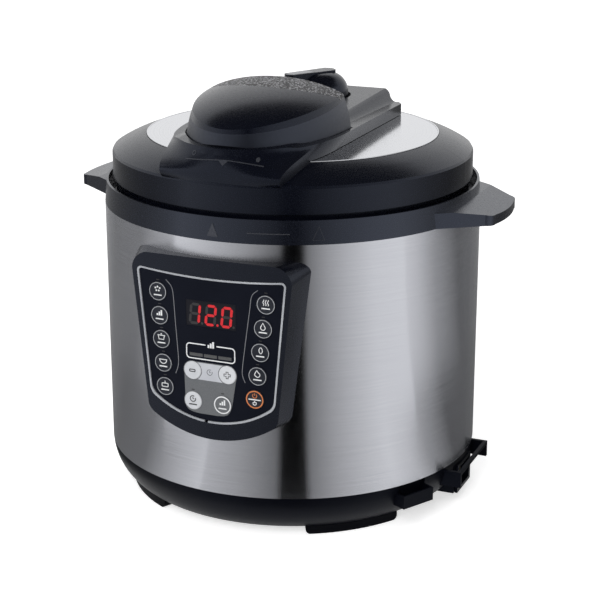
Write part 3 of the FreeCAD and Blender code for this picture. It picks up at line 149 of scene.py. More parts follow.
def turned_metal(name, dark, light, rough, rings):
    """Metal faced on a lathe: fine rings round the body's axis."""
    material, tree, shader = new_material(name)
    source = tree.nodes.new("ShaderNodeTexCoord")
    flat = tree.nodes.new("ShaderNodeMapping")
    flat.inputs["Scale"].default_value = (1.0, 1.0, 0.0)
    tree.links.new(source.outputs["Object"], flat.inputs["Vector"])
    distance = tree.nodes.new("ShaderNodeVectorMath")
    distance.operation = "LENGTH"
    tree.links.new(flat.outputs["Vector"], distance.inputs[0])
    ring_noise = tree.nodes.new("ShaderNodeTexNoise")
    ring_noise.noise_dimensions = "1D"
    ring_noise.inputs["Scale"].default_value = rings
    tree.links.new(distance.outputs["Value"], ring_noise.inputs["W"])
    lines = ring_noise.outputs["Fac"]
    tree.links.new(colour_ramp(tree, lines, ((0.3, dark), (0.7, light))), shader.inputs["Base Color"])
    tree.links.new(value_range(tree, lines, rough - 0.04, rough + 0.04), shader.inputs["Roughness"])
    shader.inputs["Metallic"].default_value = 1.0
    add_bump(tree, shader, lines, 0.08, 0.00001)
    return material


def grained_with_painted_highlights(name, dark, light, rough, scale, depth):
    """Pebbled soft-touch inlay: the pebble grain is a bump, and the light colour round the pebble middles is
    a painted highlight on the black plastic.
    """
    material, tree, shader = new_material(name)
    where = coordinates(tree, (1.0, 1.0, 1.0))
    cells = tree.nodes.new("ShaderNodeTexVoronoi")
    cells.inputs["Scale"].default_value = scale
    tree.links.new(where, cells.inputs["Vector"])
    pebble = cells.outputs["Distance"]
    fine = noise(tree, where, scale * 0.8, 4.0)
    mixed = tree.nodes.new("ShaderNodeMath")
    mixed.operation = "MULTIPLY"
    tree.links.new(pebble, mixed.inputs[0])
    tree.links.new(fine, mixed.inputs[1])
    # painted highlight: the light grey at the pebble middles stands in for light catching the pebble tops;
    # the dark end is the grip's own black
    tint = colour_ramp(tree, mixed.outputs["Value"], ((0.12, light), (0.26, dark)))
    tree.links.new(tint, shader.inputs["Base Color"])
    shader.inputs["Roughness"].default_value = rough
    add_bump(tree, shader, mixed.outputs["Value"], 0.9, depth)
    return material


def ink(name, dark, light, rough=0.45, glow=0.0):
    """Printed marking with the slight unevenness of screen printing."""
    material, tree, shader = new_material(name)
    spots = noise(tree, coordinates(tree, (1.0, 1.0, 1.0)), 1500.0)
    tint = colour_ramp(tree, spots, ((0.35, dark), (0.65, light)))
    tree.links.new(tint, shader.inputs["Base Color"])
    shader.inputs["Roughness"].default_value = rough
    if glow:
        tree.links.new(tint, shader.inputs["Emission Color"])
        shader.inputs["Emission Strength"].default_value = glow
    return material


BLACK = plastic("satin_black", (0.0016, 0.002, 0.0046), (0.0022, 0.0027, 0.0056),
                rough=0.26, grain=900.0, depth=0.000002, gloss=0.38)
RING_BLACK = plastic("ring_black", (0.0016, 0.002, 0.0046), (0.0022, 0.0027, 0.0056),
                     rough=0.27, grain=900.0, depth=0.000002, gloss=0.8)
BASE_BLACK = plastic("base_black", (0.0014, 0.0017, 0.0036), (0.002, 0.0024, 0.0046),
                     rough=0.45, grain=1100.0, depth=0.00004, gloss=0.08)
BAND_BLACK = plastic("band_black", (0.004, 0.0045, 0.007), (0.0055, 0.006, 0.009),
                     rough=0.4, grain=700.0, depth=0.000003, gloss=0.7)
GLOSS_BLACK = plastic("gloss_black", (0.0014, 0.0017, 0.0038), (0.002, 0.0024, 0.0048),
                      rough=0.26, grain=700.0, depth=0.000003, gloss=0.4)
RUBBER = plastic("foot_rubber", (0.0015, 0.0015, 0.0022), (0.0025, 0.0025, 0.0034),
                 rough=0.6, grain=1400.0, depth=0.00008, gloss=0.05)
PANEL_DARK = plastic("panel_sheet", (0.003, 0.0036, 0.0072), (0.004, 0.0048, 0.009),
                     rough=0.36, grain=1600.0, depth=0.00002, gloss=0.12)
KEY_DARK = plastic("key_sheet", (0.013, 0.014, 0.018), (0.02, 0.021, 0.026),
                   rough=0.4, grain=1600.0, depth=0.00001, gloss=0.25)
KEY_SILVER = plastic("key_silver", (0.5, 0.51, 0.53), (0.6, 0.61, 0.63),
                     rough=0.42, grain=1500.0, depth=0.00001)
SILVER = plastic("silver_trim", (0.42, 0.43, 0.46), (0.52, 0.53, 0.56),
                 rough=0.35, grain=1200.0, depth=0.00001)
BORDER = plastic("border_silver", (0.3, 0.31, 0.33), (0.38, 0.39, 0.41),
                 rough=0.35, grain=1200.0, depth=0.00001)
LEVER_SILVER = plastic("lever_silver", (0.2, 0.205, 0.22), (0.26, 0.265, 0.28),
                       rough=0.3, grain=1200.0, depth=0.00001)
PALE = plastic("pale_plastic", (0.6, 0.6, 0.56), (0.7, 0.7, 0.66),
               rough=0.5)
BOARD = plastic("board_green", (0.01, 0.08, 0.03), (0.02, 0.12, 0.05),
                rough=0.45)
SEAL = plastic("seal_rubber", (0.6, 0.59, 0.56), (0.68, 0.67, 0.64),
               rough=0.6, grain=800.0)
DISPLAY = plastic("display_window", (0.0065, 0.006, 0.0075), (0.0085, 0.0078, 0.0095),
                  rough=0.34, grain=900.0, depth=0.00001, gloss=0.2)
# Black pebbled grip; its light grey spots are a painted highlight on the pebbles
GRIP = grained_with_painted_highlights("grip_grain_painted_highlights", (0.004, 0.004, 0.006), (0.34, 0.34, 0.36),
               rough=0.5, scale=620.0, depth=0.0004)
STEEL = metal("shell_steel", (0.57, 0.58, 0.625), (0.62, 0.63, 0.675),
              rough=0.22, stretch=(6.0, 6.0, 900.0), scale=3.0, anisotropic=0.98, turn=0.25)
INNER_STEEL = metal("inner_steel", (0.5, 0.5, 0.51), (0.62, 0.62, 0.63),
                    rough=0.3, stretch=(30.0, 30.0, 300.0), scale=6.0)
POT_METAL = metal("pot_metal", (0.48, 0.48, 0.49), (0.58, 0.58, 0.59),
                  rough=0.38, stretch=(20.0, 20.0, 500.0), scale=5.0)
BRASS = metal("contact_brass", (0.55, 0.4, 0.16), (0.68, 0.52, 0.24),
              rough=0.3, stretch=(300.0, 40.0, 40.0), scale=5.0)
PLATE = turned_metal("trim_plate", (0.58, 0.59, 0.62), (0.66, 0.67, 0.7),
                     rough=0.14, rings=1400.0)
HOT_PLATE = turned_metal("hot_plate", (0.45, 0.45, 0.46), (0.58, 0.58, 0.59),
                         rough=0.42, rings=700.0)
PRINT = ink("pale_print", (0.3, 0.31, 0.33), (0.38, 0.39, 0.41))
PRINT_LINE = ink("line_print", (0.15, 0.155, 0.17), (0.19, 0.195, 0.21))
PRINT_WHITE = ink("white_print", (0.66, 0.67, 0.69), (0.76, 0.77, 0.78))
PRINT_GREY = ink("grey_print", (0.1, 0.106, 0.114), (0.125, 0.131, 0.14),
                 rough=0.45)
PRINT_LAMP = ink("lamp_print", (0.055, 0.056, 0.058), (0.075, 0.076, 0.079),
                 rough=0.35)
PRINT_FAINT = ink("faint_print", (0.014, 0.014, 0.016), (0.02, 0.02, 0.022))
PRINT_DARK = ink("dark_print", (0.012, 0.012, 0.015), (0.02, 0.02, 0.024))
PRINT_ORANGE = ink("orange_print", (0.5, 0.15, 0.045), (0.6, 0.2, 0.065))
LED_ON = ink("led_lit", (0.28, 0.006, 0.009), (0.34, 0.009, 0.013),
             rough=0.6, glow=1.0)
LED_OFF = ink("led_unlit", (0.019, 0.018, 0.02), (0.025, 0.024, 0.026))
# Raised pointer marks moulded in the black lid plastic: their grey, lighter than the plastic, is a painted
# highlight on the raised marks
POINTER = plastic("pointer_painted_highlight", (0.022, 0.023, 0.027), (0.032, 0.033, 0.038),
                  rough=0.35)
# Raised marks moulded in the black ring plastic: their grey, lighter than the plastic, is a painted
# highlight where the raised marks catch the light
EMBOSS_PAINTED_HIGHLIGHT = plastic("embossed_black_painted_highlight", (0.03, 0.031, 0.036), (0.04, 0.041, 0.046),
                 rough=0.25)

NODE_MATERIALS = {
    BLACK: ("lid_cover", "handle_shell"),
    RING_BLACK: ("top_ring",),
    BASE_BLACK: ("base_housing", "bottom_cover", "power_inlet"),
    GLOSS_BLACK: ("panel_frame", "steam_valve"),
    BAND_BLACK: ("handle_base",),
    RUBBER: ("feet",),
    PANEL_DARK: ("panel_overlay",),
    KEY_SILVER: ("key_minus", "key_plus", "key_time"),
    BORDER: ("panel_border",),
    LEVER_SILVER: ("valve_trim",),
    PALE: ("pressure_switch", "thermal_fuse"),
    BOARD: ("power_board", "control_board"),
    SEAL: ("sealing_ring", "float_seal"),
    DISPLAY: ("led_display",),
    GRIP: ("handle_grip",),
    STEEL: ("outer_shell",),
    INNER_STEEL: ("lid_pan", "seal_carrier", "lid_screws", "base_screws", "exhaust_pipe", "steam_shield",
                  "float_valve", "heating_element", "sensor_spring"),
    POT_METAL: ("outer_pot", "inner_pot"),
    BRASS: ("inlet_pins",),
    PLATE: ("trim_plate",),
    HOT_PLATE: ("heating_plate", "sensor_probe"),
}


def dress(node, material):
    slots = NODES[node].material_slots
    if not slots:
        NODES[node].data.materials.append(material)
    for slot in slots:
        slot.material = material


for look, names in NODE_MATERIALS.items():
    for node_name in names:
        dress(node_name, look)


# Printed and raised markings, drawn flat and laid on the surface that carries them

def panel_surface(bend):
    """Points drawn as (x, z) in millimetres, laid on the curved panel."""
    def lay(x, z, lift):
        share = x / PANEL_BEND
        reach = bend + lift
        return Vector((share * reach, PANEL_AXIS_Y - math.sqrt(1.0 - share * share) * reach, z)) * MM
    return lay


def key_surface(x, z):
    """Points drawn round a key's middle, laid on its flat top."""
    share = x / PANEL_BEND
    outward = Vector((share, -math.sqrt(1.0 - share * share), 0.0))
    across = Vector((-outward.y, outward.x, 0.0))
    middle = Vector((0.0, PANEL_AXIS_Y, z)) + outward * (PANEL_BEND + KEY_RISE)

    def lay(u, v, lift):
        return (middle + across * u + Vector((0.0, 0.0, v)) + outward * lift) * MM
    return lay


def ring_surface(u, v, lift):
    """Points drawn as millimetres round the top ring from its front, and height."""
    share = (v - RING_LOW) / (RING_HIGH - RING_LOW)
    radius = RING_LOW_RADIUS + (RING_HIGH_RADIUS - RING_LOW_RADIUS) * share
    angle = u / radius
    radius += lift
    return Vector((radius * math.sin(angle), -radius * math.cos(angle), v)) * MM


class Drawing:
    """Collects raised shapes for one piece."""

    def __init__(self, lay, height=INK, sink=0.1):
        self.lay = lay
        self.height = height
        self.sink = sink
        self.points = []
        self.faces = []

    def strip(self, left, right, closed=False):
        """A raised band between two rows of points of the same length."""
        first = len(self.points)
        count = len(left)
        for (a, b) in zip(left, right):
            for (u, v), lift in ((a, -self.sink), (a, self.height), (b, self.height), (b, -self.sink)):
                self.points.append(self.lay(u, v, lift))
        steps = count if closed else count - 1
        for step in range(steps):
            here = first + 4 * step
            ahead = first + 4 * ((step + 1) % count)
            for side in range(4):
                other = (side + 1) % 4
                self.faces.append((here + side, here + other, ahead + other, ahead + side))
        if not closed:
            last = first + 4 * (count - 1)
            self.faces.append((first + 3, first + 2, first + 1, first))
            self.faces.append((last, last + 1, last + 2, last + 3))

    def line(self, points, width, closed=False):
        """A line of even width through the points."""
        left, right = [], []
        count = len(points)
        for index, (u, v) in enumerate(points):
            before = points[index - 1] if closed or index else points[index]
            after = points[(index + 1) % count] if closed or index < count - 1 else points[index]
            run = Vector((after[0] - before[0], after[1] - before[1])).normalized()
            left.append((u - run.y * width / 2.0, v + run.x * width / 2.0))
            right.append((u + run.y * width / 2.0, v - run.x * width / 2.0))
        self.strip(left, right, closed)

    def ring(self, u, v, radius, width, steps=40):
        self.line(arc(u, v, radius, 0.0, 360.0 - 360.0 / steps, steps - 1), width, True)

    def disc(self, u, v, radius, steps=28):
        outer = arc(u, v, radius, 0.0, 360.0 - 360.0 / steps, steps - 1)
        self.strip([(u, v + 0.001)] * steps, outer, True)

    def bar(self, u0, v0, u1, v1, steps=8):
        """An upright rectangle, cut into steps so that it follows the surface."""
        across = [u0 + (u1 - u0) * step / steps for step in range(steps + 1)]
        self.strip([(u, v0) for u in across], [(u, v1) for u in across])

    def piece(self, name, material, body):
        mesh = bpy.data.meshes.new(name)
        mesh.from_pydata(self.points, [], self.faces)
        mesh.validate()
        mesh.update()
        item = bpy.data.objects.new(name, mesh)
        bpy.context.scene.collection.objects.link(item)
        mesh.materials.append(material)
        fix_normals(mesh)
        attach(item, body)
        return item


def fix_normals(mesh):
    work = bmesh.new()
    work.from_mesh(mesh)
    bmesh.ops.remove_doubles(work, verts=work.verts, dist=0.000001)
    bmesh.ops.recalc_face_normals(work, faces=work.faces)
    work.to_mesh(mesh)
    work.free()


def arc(u, v, radius, start, end, steps):
    """Points on a circle, angles in degrees."""
    angles = [math.radians(start + (end - start) * step / steps) for step in range(steps + 1)]
    return [(u + radius * math.cos(angle), v + radius * math.sin(angle)) for angle in angles]


def smooth_run(points, rounds=3):
    """Corner cutting that turns a few points into a soft curve."""
    for _ in range(rounds):
        finer = [points[0]]
        for (a, b) in zip(points, points[1:]):
            finer.append((a[0] * 0.75 + b[0] * 0.25, a[1] * 0.75 + b[1] * 0.25))
            finer.append((a[0] * 0.25 + b[0] * 0.75, a[1] * 0.25 + b[1] * 0.75))
        finer.append(points[-1])
        points = finer
    return points


def rounded_box(u0, v0, u1, v1, radius, steps=6, side=8):
    """Outline of a box with round corners, in even steps along its sides."""
    corners = ((u1 - radius, v1 - radius, 0.0), (u0 + radius, v1 - radius, 90.0),
               (u0 + radius, v0 + radius, 180.0), (u1 - radius, v0 + radius, 270.0))
    points = []
    for index, (u, v, start) in enumerate(corners):
        bend = arc(u, v, radius, start, start + 90.0, steps)
        following = corners[(index + 1) % 4]
        ahead = arc(following[0], following[1], radius, following[2], following[2], 1)[0]
        points += bend
        for step in range(1, side):
            share = step / side
            points.append((bend[-1][0] + (ahead[0] - bend[-1][0]) * share,
                           bend[-1][1] + (ahead[1] - bend[-1][1]) * share))
    return points


def gapped_box(u0, v0, u1, v1, radius, gap0, gap1, steps=6):
    """Outline of a box with round corners whose top side is open between two places."""
    low = [(u0 + radius + (u1 - u0 - 2.0 * radius) * step / steps, v0) for step in range(1, steps)]
    return ([(gap0, v1)] + arc(u0 + radius, v1 - radius, radius, 90.0, 180.0, steps)
            + arc(u0 + radius, v0 + radius, radius, 180.0, 270.0, steps) + low
            + arc(u1 - radius, v0 + radius, radius, 270.0, 360.0, steps)
            + arc(u1 - radius, v1 - radius, radius, 0.0, 90.0, steps) + [(gap1, v1)])


# Key symbols, each drawn round its key's middle

def pot_symbol(art):
    art.line([(-2.2, 0.8), (-1.8, -1.6), (1.8, -1.6), (2.2, 0.8)], 0.55)
    art.line([(-2.8, 1.2), (2.8, 1.2)], 0.55)
    art.disc(0.0, 2.2, 0.5, 12)


def steam_symbol(art):
    for u in (-1.6, 0.0, 1.6):
        wave = [(u + 0.35 * math.sin(step * 1.1), -2.0 + 0.5 * step) for step in range(9)]
        art.line(wave, 0.5)


def bowl_symbol(art):
    art.line(arc(0.0, 0.6, 2.6, 180.0, 360.0, 16), 0.55)
    art.line([(-3.0, 0.8), (3.0, 0.8)], 0.55)


def drop_symbol(art):
    art.line(arc(0.0, -0.7, 1.6, 140.0, 400.0, 18) + [(0.0, 2.6)], 0.5, True)


def leaf_symbol(art):
    art.line(arc(-1.0, 0.0, 2.6, -50.0, 50.0, 10) + arc(1.8, 0.0, 2.6, 130.0, 230.0, 10), 0.5, True)


def bars_symbol(art):
    for index in range(3):
        art.bar(-2.1 + 1.5 * index, -1.6, -1.0 + 1.5 * index, -0.2 + 1.2 * index, 2)


def flame_symbol(art):
    art.line(smooth_run([(0.0, -2.2), (-2.2, -1.0), (-1.4, 1.0), (-0.3, 2.8), (0.4, 1.2), (1.9, 0.2),
                         (1.6, -1.6), (0.0, -2.2)], 2), 0.5)


def dots_symbol(art):
    for u, v in ((-1.6, 0.9), (0.0, 1.7), (1.6, 0.9), (-0.9, -0.9), (0.9, -0.9)):
        art.disc(u, v, 0.62, 12)


def cake_symbol(art):
    art.line(rounded_box(-2.3, -1.8, 2.3, 0.6, 0.4, 3, 2), 0.5, True)
    art.line([(0.0, 0.8), (0.0, 2.4)], 0.5)


def power_symbol(art):
    art.line(arc(0.0, 2.6, 1.5, 130.0, 410.0, 18), 0.5)
    art.line([(0.0, 2.8), (0.0, 4.4)], 0.5)


def minus_symbol(art):
    art.line(rounded_box(-2.0, -0.75, 2.0, 0.75, 0.4, 3, 2), 0.6, True)


def plus_symbol(art):
    small, big = 0.75, 2.3
    art.line([(small, small), (small, big), (-small, big), (-small, small), (-big, small), (-big, -small),
              (-small, -small), (-small, -big), (small, -big), (small, -small), (big, -small), (big, small)],
             0.6, True)


def clock_symbol(art, u=0.0, v=0.0, size=2.0, width=0.6):
    art.line(arc(u, v, size, 60.0, 380.0, 26), width)
    art.line([(u, v + size * 0.6), (u, v), (u + size * 0.5, v)], width)


LEFT_KEYS = (("key_rice", dots_symbol), ("key_soup", bars_symbol), ("key_beans", pot_symbol),
             ("key_cake", bowl_symbol), ("key_reheat", cake_symbol))
RIGHT_KEYS = (("key_meat", steam_symbol), ("key_fish", drop_symbol), ("key_steam", leaf_symbol),
              ("key_stew", flame_symbol), ("key_cancel", power_symbol))
MIDDLE_KEYS = (("key_minus", -13.9, 121.15, minus_symbol), ("key_plus", 11.6, 121.15, plus_symbol),
               ("key_time", -13.9, 99.6, clock_symbol), ("key_level", 7.9, 99.6, bars_symbol))


def all_keys():
    for start, step, keys in ((KEY_LEFT, KEY_LEFT_STEP, LEFT_KEYS), (KEY_RIGHT, KEY_RIGHT_STEP, RIGHT_KEYS)):
        for row, (name, symbol) in enumerate(keys):
            yield name, start + step * row, KEY_TOP - KEY_PITCH * row, symbol
    yield from MIDDLE_KEYS


KEY_PRINT = {"key_cancel": PRINT_ORANGE, "key_level": PRINT_WHITE}
RIM_WIDTH = {"key_cancel": 0.8, "key_level": 0.8}
RIM_PLAIN = 0.42
SILVER_KEYS = NODE_MATERIALS[KEY_SILVER]
UNCAPTIONED = ("key_minus", "key_plus", "key_cancel")
SYMBOL_RISE = 1.5
CAPTION_LOW = -2.9
CAPTION_TALL = 0.8
CAPTION_HALF = 2.9


def raised(lay, rise):
    """The same surface with the drawing moved up by a distance."""
    return lambda u, v, lift: lay(u, v + rise, lift)


for key, key_x, key_z, symbol in all_keys():
    on_key = key_surface(key_x, key_z)
    dark_on_silver = key in SILVER_KEYS
    captioned = key not in UNCAPTIONED
    art = Drawing(raised(on_key, SYMBOL_RISE if captioned else 0.0))
    symbol(art)
    if captioned:
        bar_low = CAPTION_LOW - SYMBOL_RISE
        art.bar(-CAPTION_HALF, bar_low, CAPTION_HALF, bar_low + CAPTION_TALL)
    symbol_print = PRINT_DARK if dark_on_silver else PRINT_WHITE
    art.piece(key + "_mark", PRINT_ORANGE if key == "key_cancel" else symbol_print, key)
    if dark_on_silver:
        continue
    dress(key, PRINT_GREY if key == "key_level" else KEY_DARK)
    rim = Drawing(on_key)
    width = RIM_WIDTH.get(key, RIM_PLAIN)
    rim.ring(0.0, 0.0, KEY_RADIUS - 0.1 - width / 2.0, width)
    rim.piece(key + "_rim", KEY_PRINT.get(key, PRINT), key)

CANCEL_BAR_HALF = 4.4
CANCEL_BAR_LOW = -0.45
CANCEL_BAR_HIGH = 0.3
cancel_x, cancel_z = [(x, z) for key, x, z, symbol in all_keys() if key == "key_cancel"][0]
cancel = Drawing(key_surface(cancel_x, cancel_z))
cancel.bar(-CANCEL_BAR_HALF, CANCEL_BAR_LOW, CANCEL_BAR_HALF, CANCEL_BAR_HIGH)
cancel.line(arc(0.0, -2.6, 1.2, 180.0, 360.0, 10) + [(1.2, -2.0), (-1.2, -2.0)], 0.5, True)
cancel.disc(0.0, -1.3, 0.4, 10)
cancel.piece("key_cancel_bar", PRINT_WHITE, "key_cancel")


# Panel print

ON_OVERLAY = panel_surface(PANEL_BEND - OVERLAY_SINK)

COLUMN_LINE_WIDE = 0.45
LEFT_COLUMN_LINE = ((-32.5, 181.8), (-28.0, 177.6), (-27.0, 170.9), (-26.2, 154.8), (-24.6, 133.1),
                    (-24.2, 123.5), (-26.7, 117.1))
RIGHT_COLUMN_LINE = ((33.8, 182.1), (29.2, 178.6), (28.2, 169.3), (25.6, 151.5), (22.2, 126.4),
                     (22.3, 122.0), (24.3, 117.5))
curves = Drawing(ON_OVERLAY)
for run in (LEFT_COLUMN_LINE, RIGHT_COLUMN_LINE):
    curves.line(smooth_run(run), COLUMN_LINE_WIDE)
curves.piece("column_lines", PRINT_LINE, "cooker_body")

LEVEL_COUNT = 3
LEVEL_BOX = (-18.1, 129.8, 17.0, 140.0)
LEVEL_CORNER = 2.4
LEVEL_GAP = (-4.2, 3.9)
LEVEL_LINE_WIDE = 0.75
levels = Drawing(ON_OVERLAY)
levels.line(gapped_box(*LEVEL_BOX, LEVEL_CORNER, *LEVEL_GAP), LEVEL_LINE_WIDE)
levels.piece("level_frame", PRINT_WHITE, "cooker_body")

ICON_LEFT = -2.6
ICON_LOW = 138.3
ICON_FIRST_HIGH = 140.4
ICON_CLIMB = 1.2
ICON_PITCH = 1.7
ICON_BAR_WIDE = 1.3
level_icon = Drawing(ON_OVERLAY)
for step in range(LEVEL_COUNT):
    bar_left = ICON_LEFT + ICON_PITCH * step
    level_icon.bar(bar_left, ICON_LOW, bar_left + ICON_BAR_WIDE, ICON_FIRST_HIGH + ICON_CLIMB * step, 2)
level_icon.piece("level_icon", PRINT_WHITE, "cooker_body")

LAMP_LEFT = -15.9
LAMP_PITCH = 10.5
LAMP_WIDE = 9.5
LAMP_LOW = 131.4
LAMP_HIGH = 133.6
lamps = Drawing(ON_OVERLAY)
for step in range(LEVEL_COUNT):
    lamp_left = LAMP_LEFT + LAMP_PITCH * step
    lamps.bar(lamp_left, LAMP_LOW, lamp_left + LAMP_WIDE, LAMP_HIGH)
lamps.piece("level_lamps", PRINT_LAMP, "cooker_body")

# Plates of the setting field, with openings for the middle keys
OPENING_RADIUS = KEY_RADIUS + 0.15
PLATE_STEP = 0.8
PLATE_PARTS = 6
THIN = 0.01
SIDES = (-1.0, 1.0)
MIDDLE_PLACES = [(x, z) for key, x, z, symbol in MIDDLE_KEYS]


def edges_at(rows, z):
    """Left and right edge at a height, between the rows given."""
    for (low, high) in zip(rows, rows[1:]):
        if low[0] <= z <= high[0]:
            share = (z - low[0]) / (high[0] - low[0])
            return [low[side] + (high[side] - low[side]) * share for side in (1, 2)]
    return list(rows[-1][1:])


def borders_at(rows, openings, z):
    """Where a plate starts and stops along one height: at its edges and at the openings between them."""
    left, right = edges_at(rows, z)
    borders = [left]
    for x, opening_z in openings:
        half = math.sqrt(max(0.0, OPENING_RADIUS ** 2 - (z - opening_z) ** 2))
        borders += [min(max(x + side * half, left), right) for side in SIDES]
    return borders + [right]


def even_row(start, end, z):
    return [(start + (end - start) * step / PLATE_PARTS, z) for step in range(PLATE_PARTS + 1)]


def pierced_plate(name, rows, openings, material, height):
    """A plate between a left and a right edge, given for several heights, with round openings for keys."""
    plate = Drawing(ON_OVERLAY, height)
    low, high = rows[0][0], rows[-1][0]
    steps = int((high - low) / PLATE_STEP) + 1
    cuts = {row[0] for row in rows} | {low + PLATE_STEP * step for step in range(steps)}
    cuts |= {z + side * OPENING_RADIUS for x, z in openings for side in SIDES}
    cuts = sorted(z for z in cuts if low <= z <= high)
    for (z0, z1) in zip(cuts, cuts[1:]):
        middle = (z0 + z1) / 2.0
        crossed = sorted((x, z) for x, z in openings if abs(middle - z) < OPENING_RADIUS)
        under = borders_at(rows, crossed, z0)
        over = borders_at(rows, crossed, z1)
        for first in range(0, len(under), 2):
            widest = max(border[first + 1] - border[first] for border in (under, over))
            if widest >= THIN:
                plate.strip(even_row(*under[first:first + 2], z0), even_row(*over[first:first + 2], z1))
    return plate.piece(name, material, "cooker_body")


# Rows of the setting field: height, left edge and right edge
FIELD_LOW = [(91.1, -9.0, 4.0), (91.6, -14.0, 8.6), (92.8, -17.4, 11.2), (94.6, -19.1, 12.9),
             (96.6, -19.7, 13.9), (100.0, -19.725, 14.78)]
FIELD_BEND = 6.5
FIELD_BEND_STEPS = 8
FIELD_BEND_LEFT = -13.7
FIELD_BEND_RIGHT = 11.7
FIELD_BEND_Z = 121.15
FIELD_HEIGHT = 0.05
field_top = []
for step in range(FIELD_BEND_STEPS + 1):
    turn = math.radians(90.0 * step / FIELD_BEND_STEPS)
    rise = FIELD_BEND * math.sin(turn)
    reach = FIELD_BEND * math.cos(turn)
    field_top.append((FIELD_BEND_Z + rise, FIELD_BEND_LEFT - reach, FIELD_BEND_RIGHT + reach))
pierced_plate("setting_field", FIELD_LOW + field_top, MIDDLE_PLACES, PRINT_GREY, FIELD_HEIGHT)

GAP_HEIGHT = 0.14
GAP_OUT = 0.3
GAP_WIDE = 0.4
gaps = Drawing(ON_OVERLAY, GAP_HEIGHT)
for key_x, key_z in MIDDLE_PLACES[:3]:
    gaps.ring(key_x, key_z, KEY_RADIUS + GAP_OUT, GAP_WIDE)
gaps.piece("key_gaps", PRINT_GREY, "cooker_body")

STRIP_HEIGHT = 0.1
STRIP_HALF_TALL = 5.95
(minus_x, strip_z), (plus_x, strip_z) = MIDDLE_PLACES[:2]
strip_rows = [(strip_z + side * STRIP_HALF_TALL, minus_x, plus_x) for side in SIDES]
pierced_plate("setting_strip", strip_rows, MIDDLE_PLACES[:2], SILVER, STRIP_HEIGHT)

CLOCK_X = -1.4
CLOCK_SIZE = 1.9
CLOCK_LINE_WIDE = 0.4
clock = Drawing(panel_surface(PANEL_BEND - OVERLAY_SINK + STRIP_HEIGHT))
clock_symbol(clock, CLOCK_X, strip_z, CLOCK_SIZE, CLOCK_LINE_WIDE)
clock.piece("setting_clock", PRINT_GREY, "cooker_body")

LIGHT_HALF = 1.1
LIGHT_LOW = KEY_RADIUS + 1.3
LIGHT_HIGH = KEY_RADIUS + 1.9
lights = Drawing(ON_OVERLAY)
for key, key_x, key_z, symbol in all_keys():
    if key not in UNCAPTIONED:
        lights.bar(key_x - LIGHT_HALF, key_z + LIGHT_LOW, key_x + LIGHT_HALF, key_z + LIGHT_HIGH, 2)
lights.piece("key_lights", PRINT_FAINT, "cooker_body")


# Number display

DIGIT_LEAN = 0.1
SEGMENTS = {
    "top": ((0.0, 1.0), (1.0, 1.0)), "middle": ((0.0, 0.5), (1.0, 0.5)), "bottom": ((0.0, 0.0), (1.0, 0.0)),
    "upper_left": ((0.0, 0.5), (0.0, 1.0)), "upper_right": ((1.0, 0.5), (1.0, 1.0)),
    "lower_left": ((0.0, 0.0), (0.0, 0.5)), "lower_right": ((1.0, 0.0), (1.0, 0.5)),
}
LIT = {"1": ("upper_right", "lower_right"),
       "2": ("top", "upper_right", "middle", "lower_left", "bottom"),
       "0": ("top", "upper_left", "upper_right", "lower_left", "lower_right", "bottom")}


def segment(art, start, end, width, trim):
    """One bar of a digit, pointed at both ends."""
    along = Vector((end[0] - start[0], end[1] - start[1]))
    length = along.length
    along.normalize()
    aside = Vector((-along.y, along.x))
    left, right = [], []
    body = width / 2.0
    tip = 0.02
    for place, half in ((trim, tip), (trim + body, body), (length / 2.0, body),
                        (length - trim - body, body), (length - trim, tip)):
        middle = Vector(start) + along * place
        left.append(tuple(middle + aside * half))
        right.append(tuple(middle - aside * half))
    art.strip(left, right)


DISPLAY_SINK = 0.1
LIT_HEIGHT = 0.08
UNLIT_HEIGHT = 0.05
DIGIT_WIDE = 6.3
DIGIT_TALL = 12.9
DIGIT_LOW = 154.5
DIGIT_PLACES = ((-15.3, "1"), (-3.8, "2"), (7.7, "0"))
SEGMENT_WIDE = 1.8
SEGMENT_TRIM = 0.25
POINT_PLACES = ((-6.4, False), (4.8, True), (16.4, False))
POINT_RADIUS = 0.85
POINT_Z = DIGIT_LOW + 0.2


def digit_point(digit_x, u, v):
    """A corner of a leaning digit, from shares of its width and height."""
    return (digit_x + u * DIGIT_WIDE + v * DIGIT_TALL * DIGIT_LEAN, DIGIT_LOW + v * DIGIT_TALL)


ON_DISPLAY = panel_surface(PANEL_BEND - OVERLAY_SINK - DISPLAY_SINK)
lit = Drawing(ON_DISPLAY, LIT_HEIGHT)
unlit = Drawing(ON_DISPLAY, UNLIT_HEIGHT)
for digit_x, digit in DIGIT_PLACES:
    for name, (start, end) in SEGMENTS.items():
        art = lit if name in LIT[digit] else unlit
        segment(art, digit_point(digit_x, *start), digit_point(digit_x, *end), SEGMENT_WIDE, SEGMENT_TRIM)
for point_x, is_lit in POINT_PLACES:
    art = lit if is_lit else unlit
    art.disc(point_x, POINT_Z, POINT_RADIUS, 16)
lit.piece("display_lit", LED_ON, "cooker_body")
unlit.piece("display_unlit", LED_OFF, "cooker_body")


# Raised marks on the ring and lid

TRIANGLE_HALF = 3.9
TRIANGLE_LOW = 213.6
TRIANGLE_HIGH = 222.4
TRIANGLE_TIP_HALF = 0.1
TRIANGLE_LINE_WIDE = 0.5
OPEN_BEARING = 30.0
MARK_HEIGHT = 0.25
MARK_LINE_Z = 217.6
MARK_LINE_WIDE = 0.6
MARK_LINE_BEARINGS = [10.0 + step for step in range(13)]


def round_ring(bearing):
    """Millimetres round the top ring from its front."""
    return math.radians(bearing) * RING_LOW_RADIUS


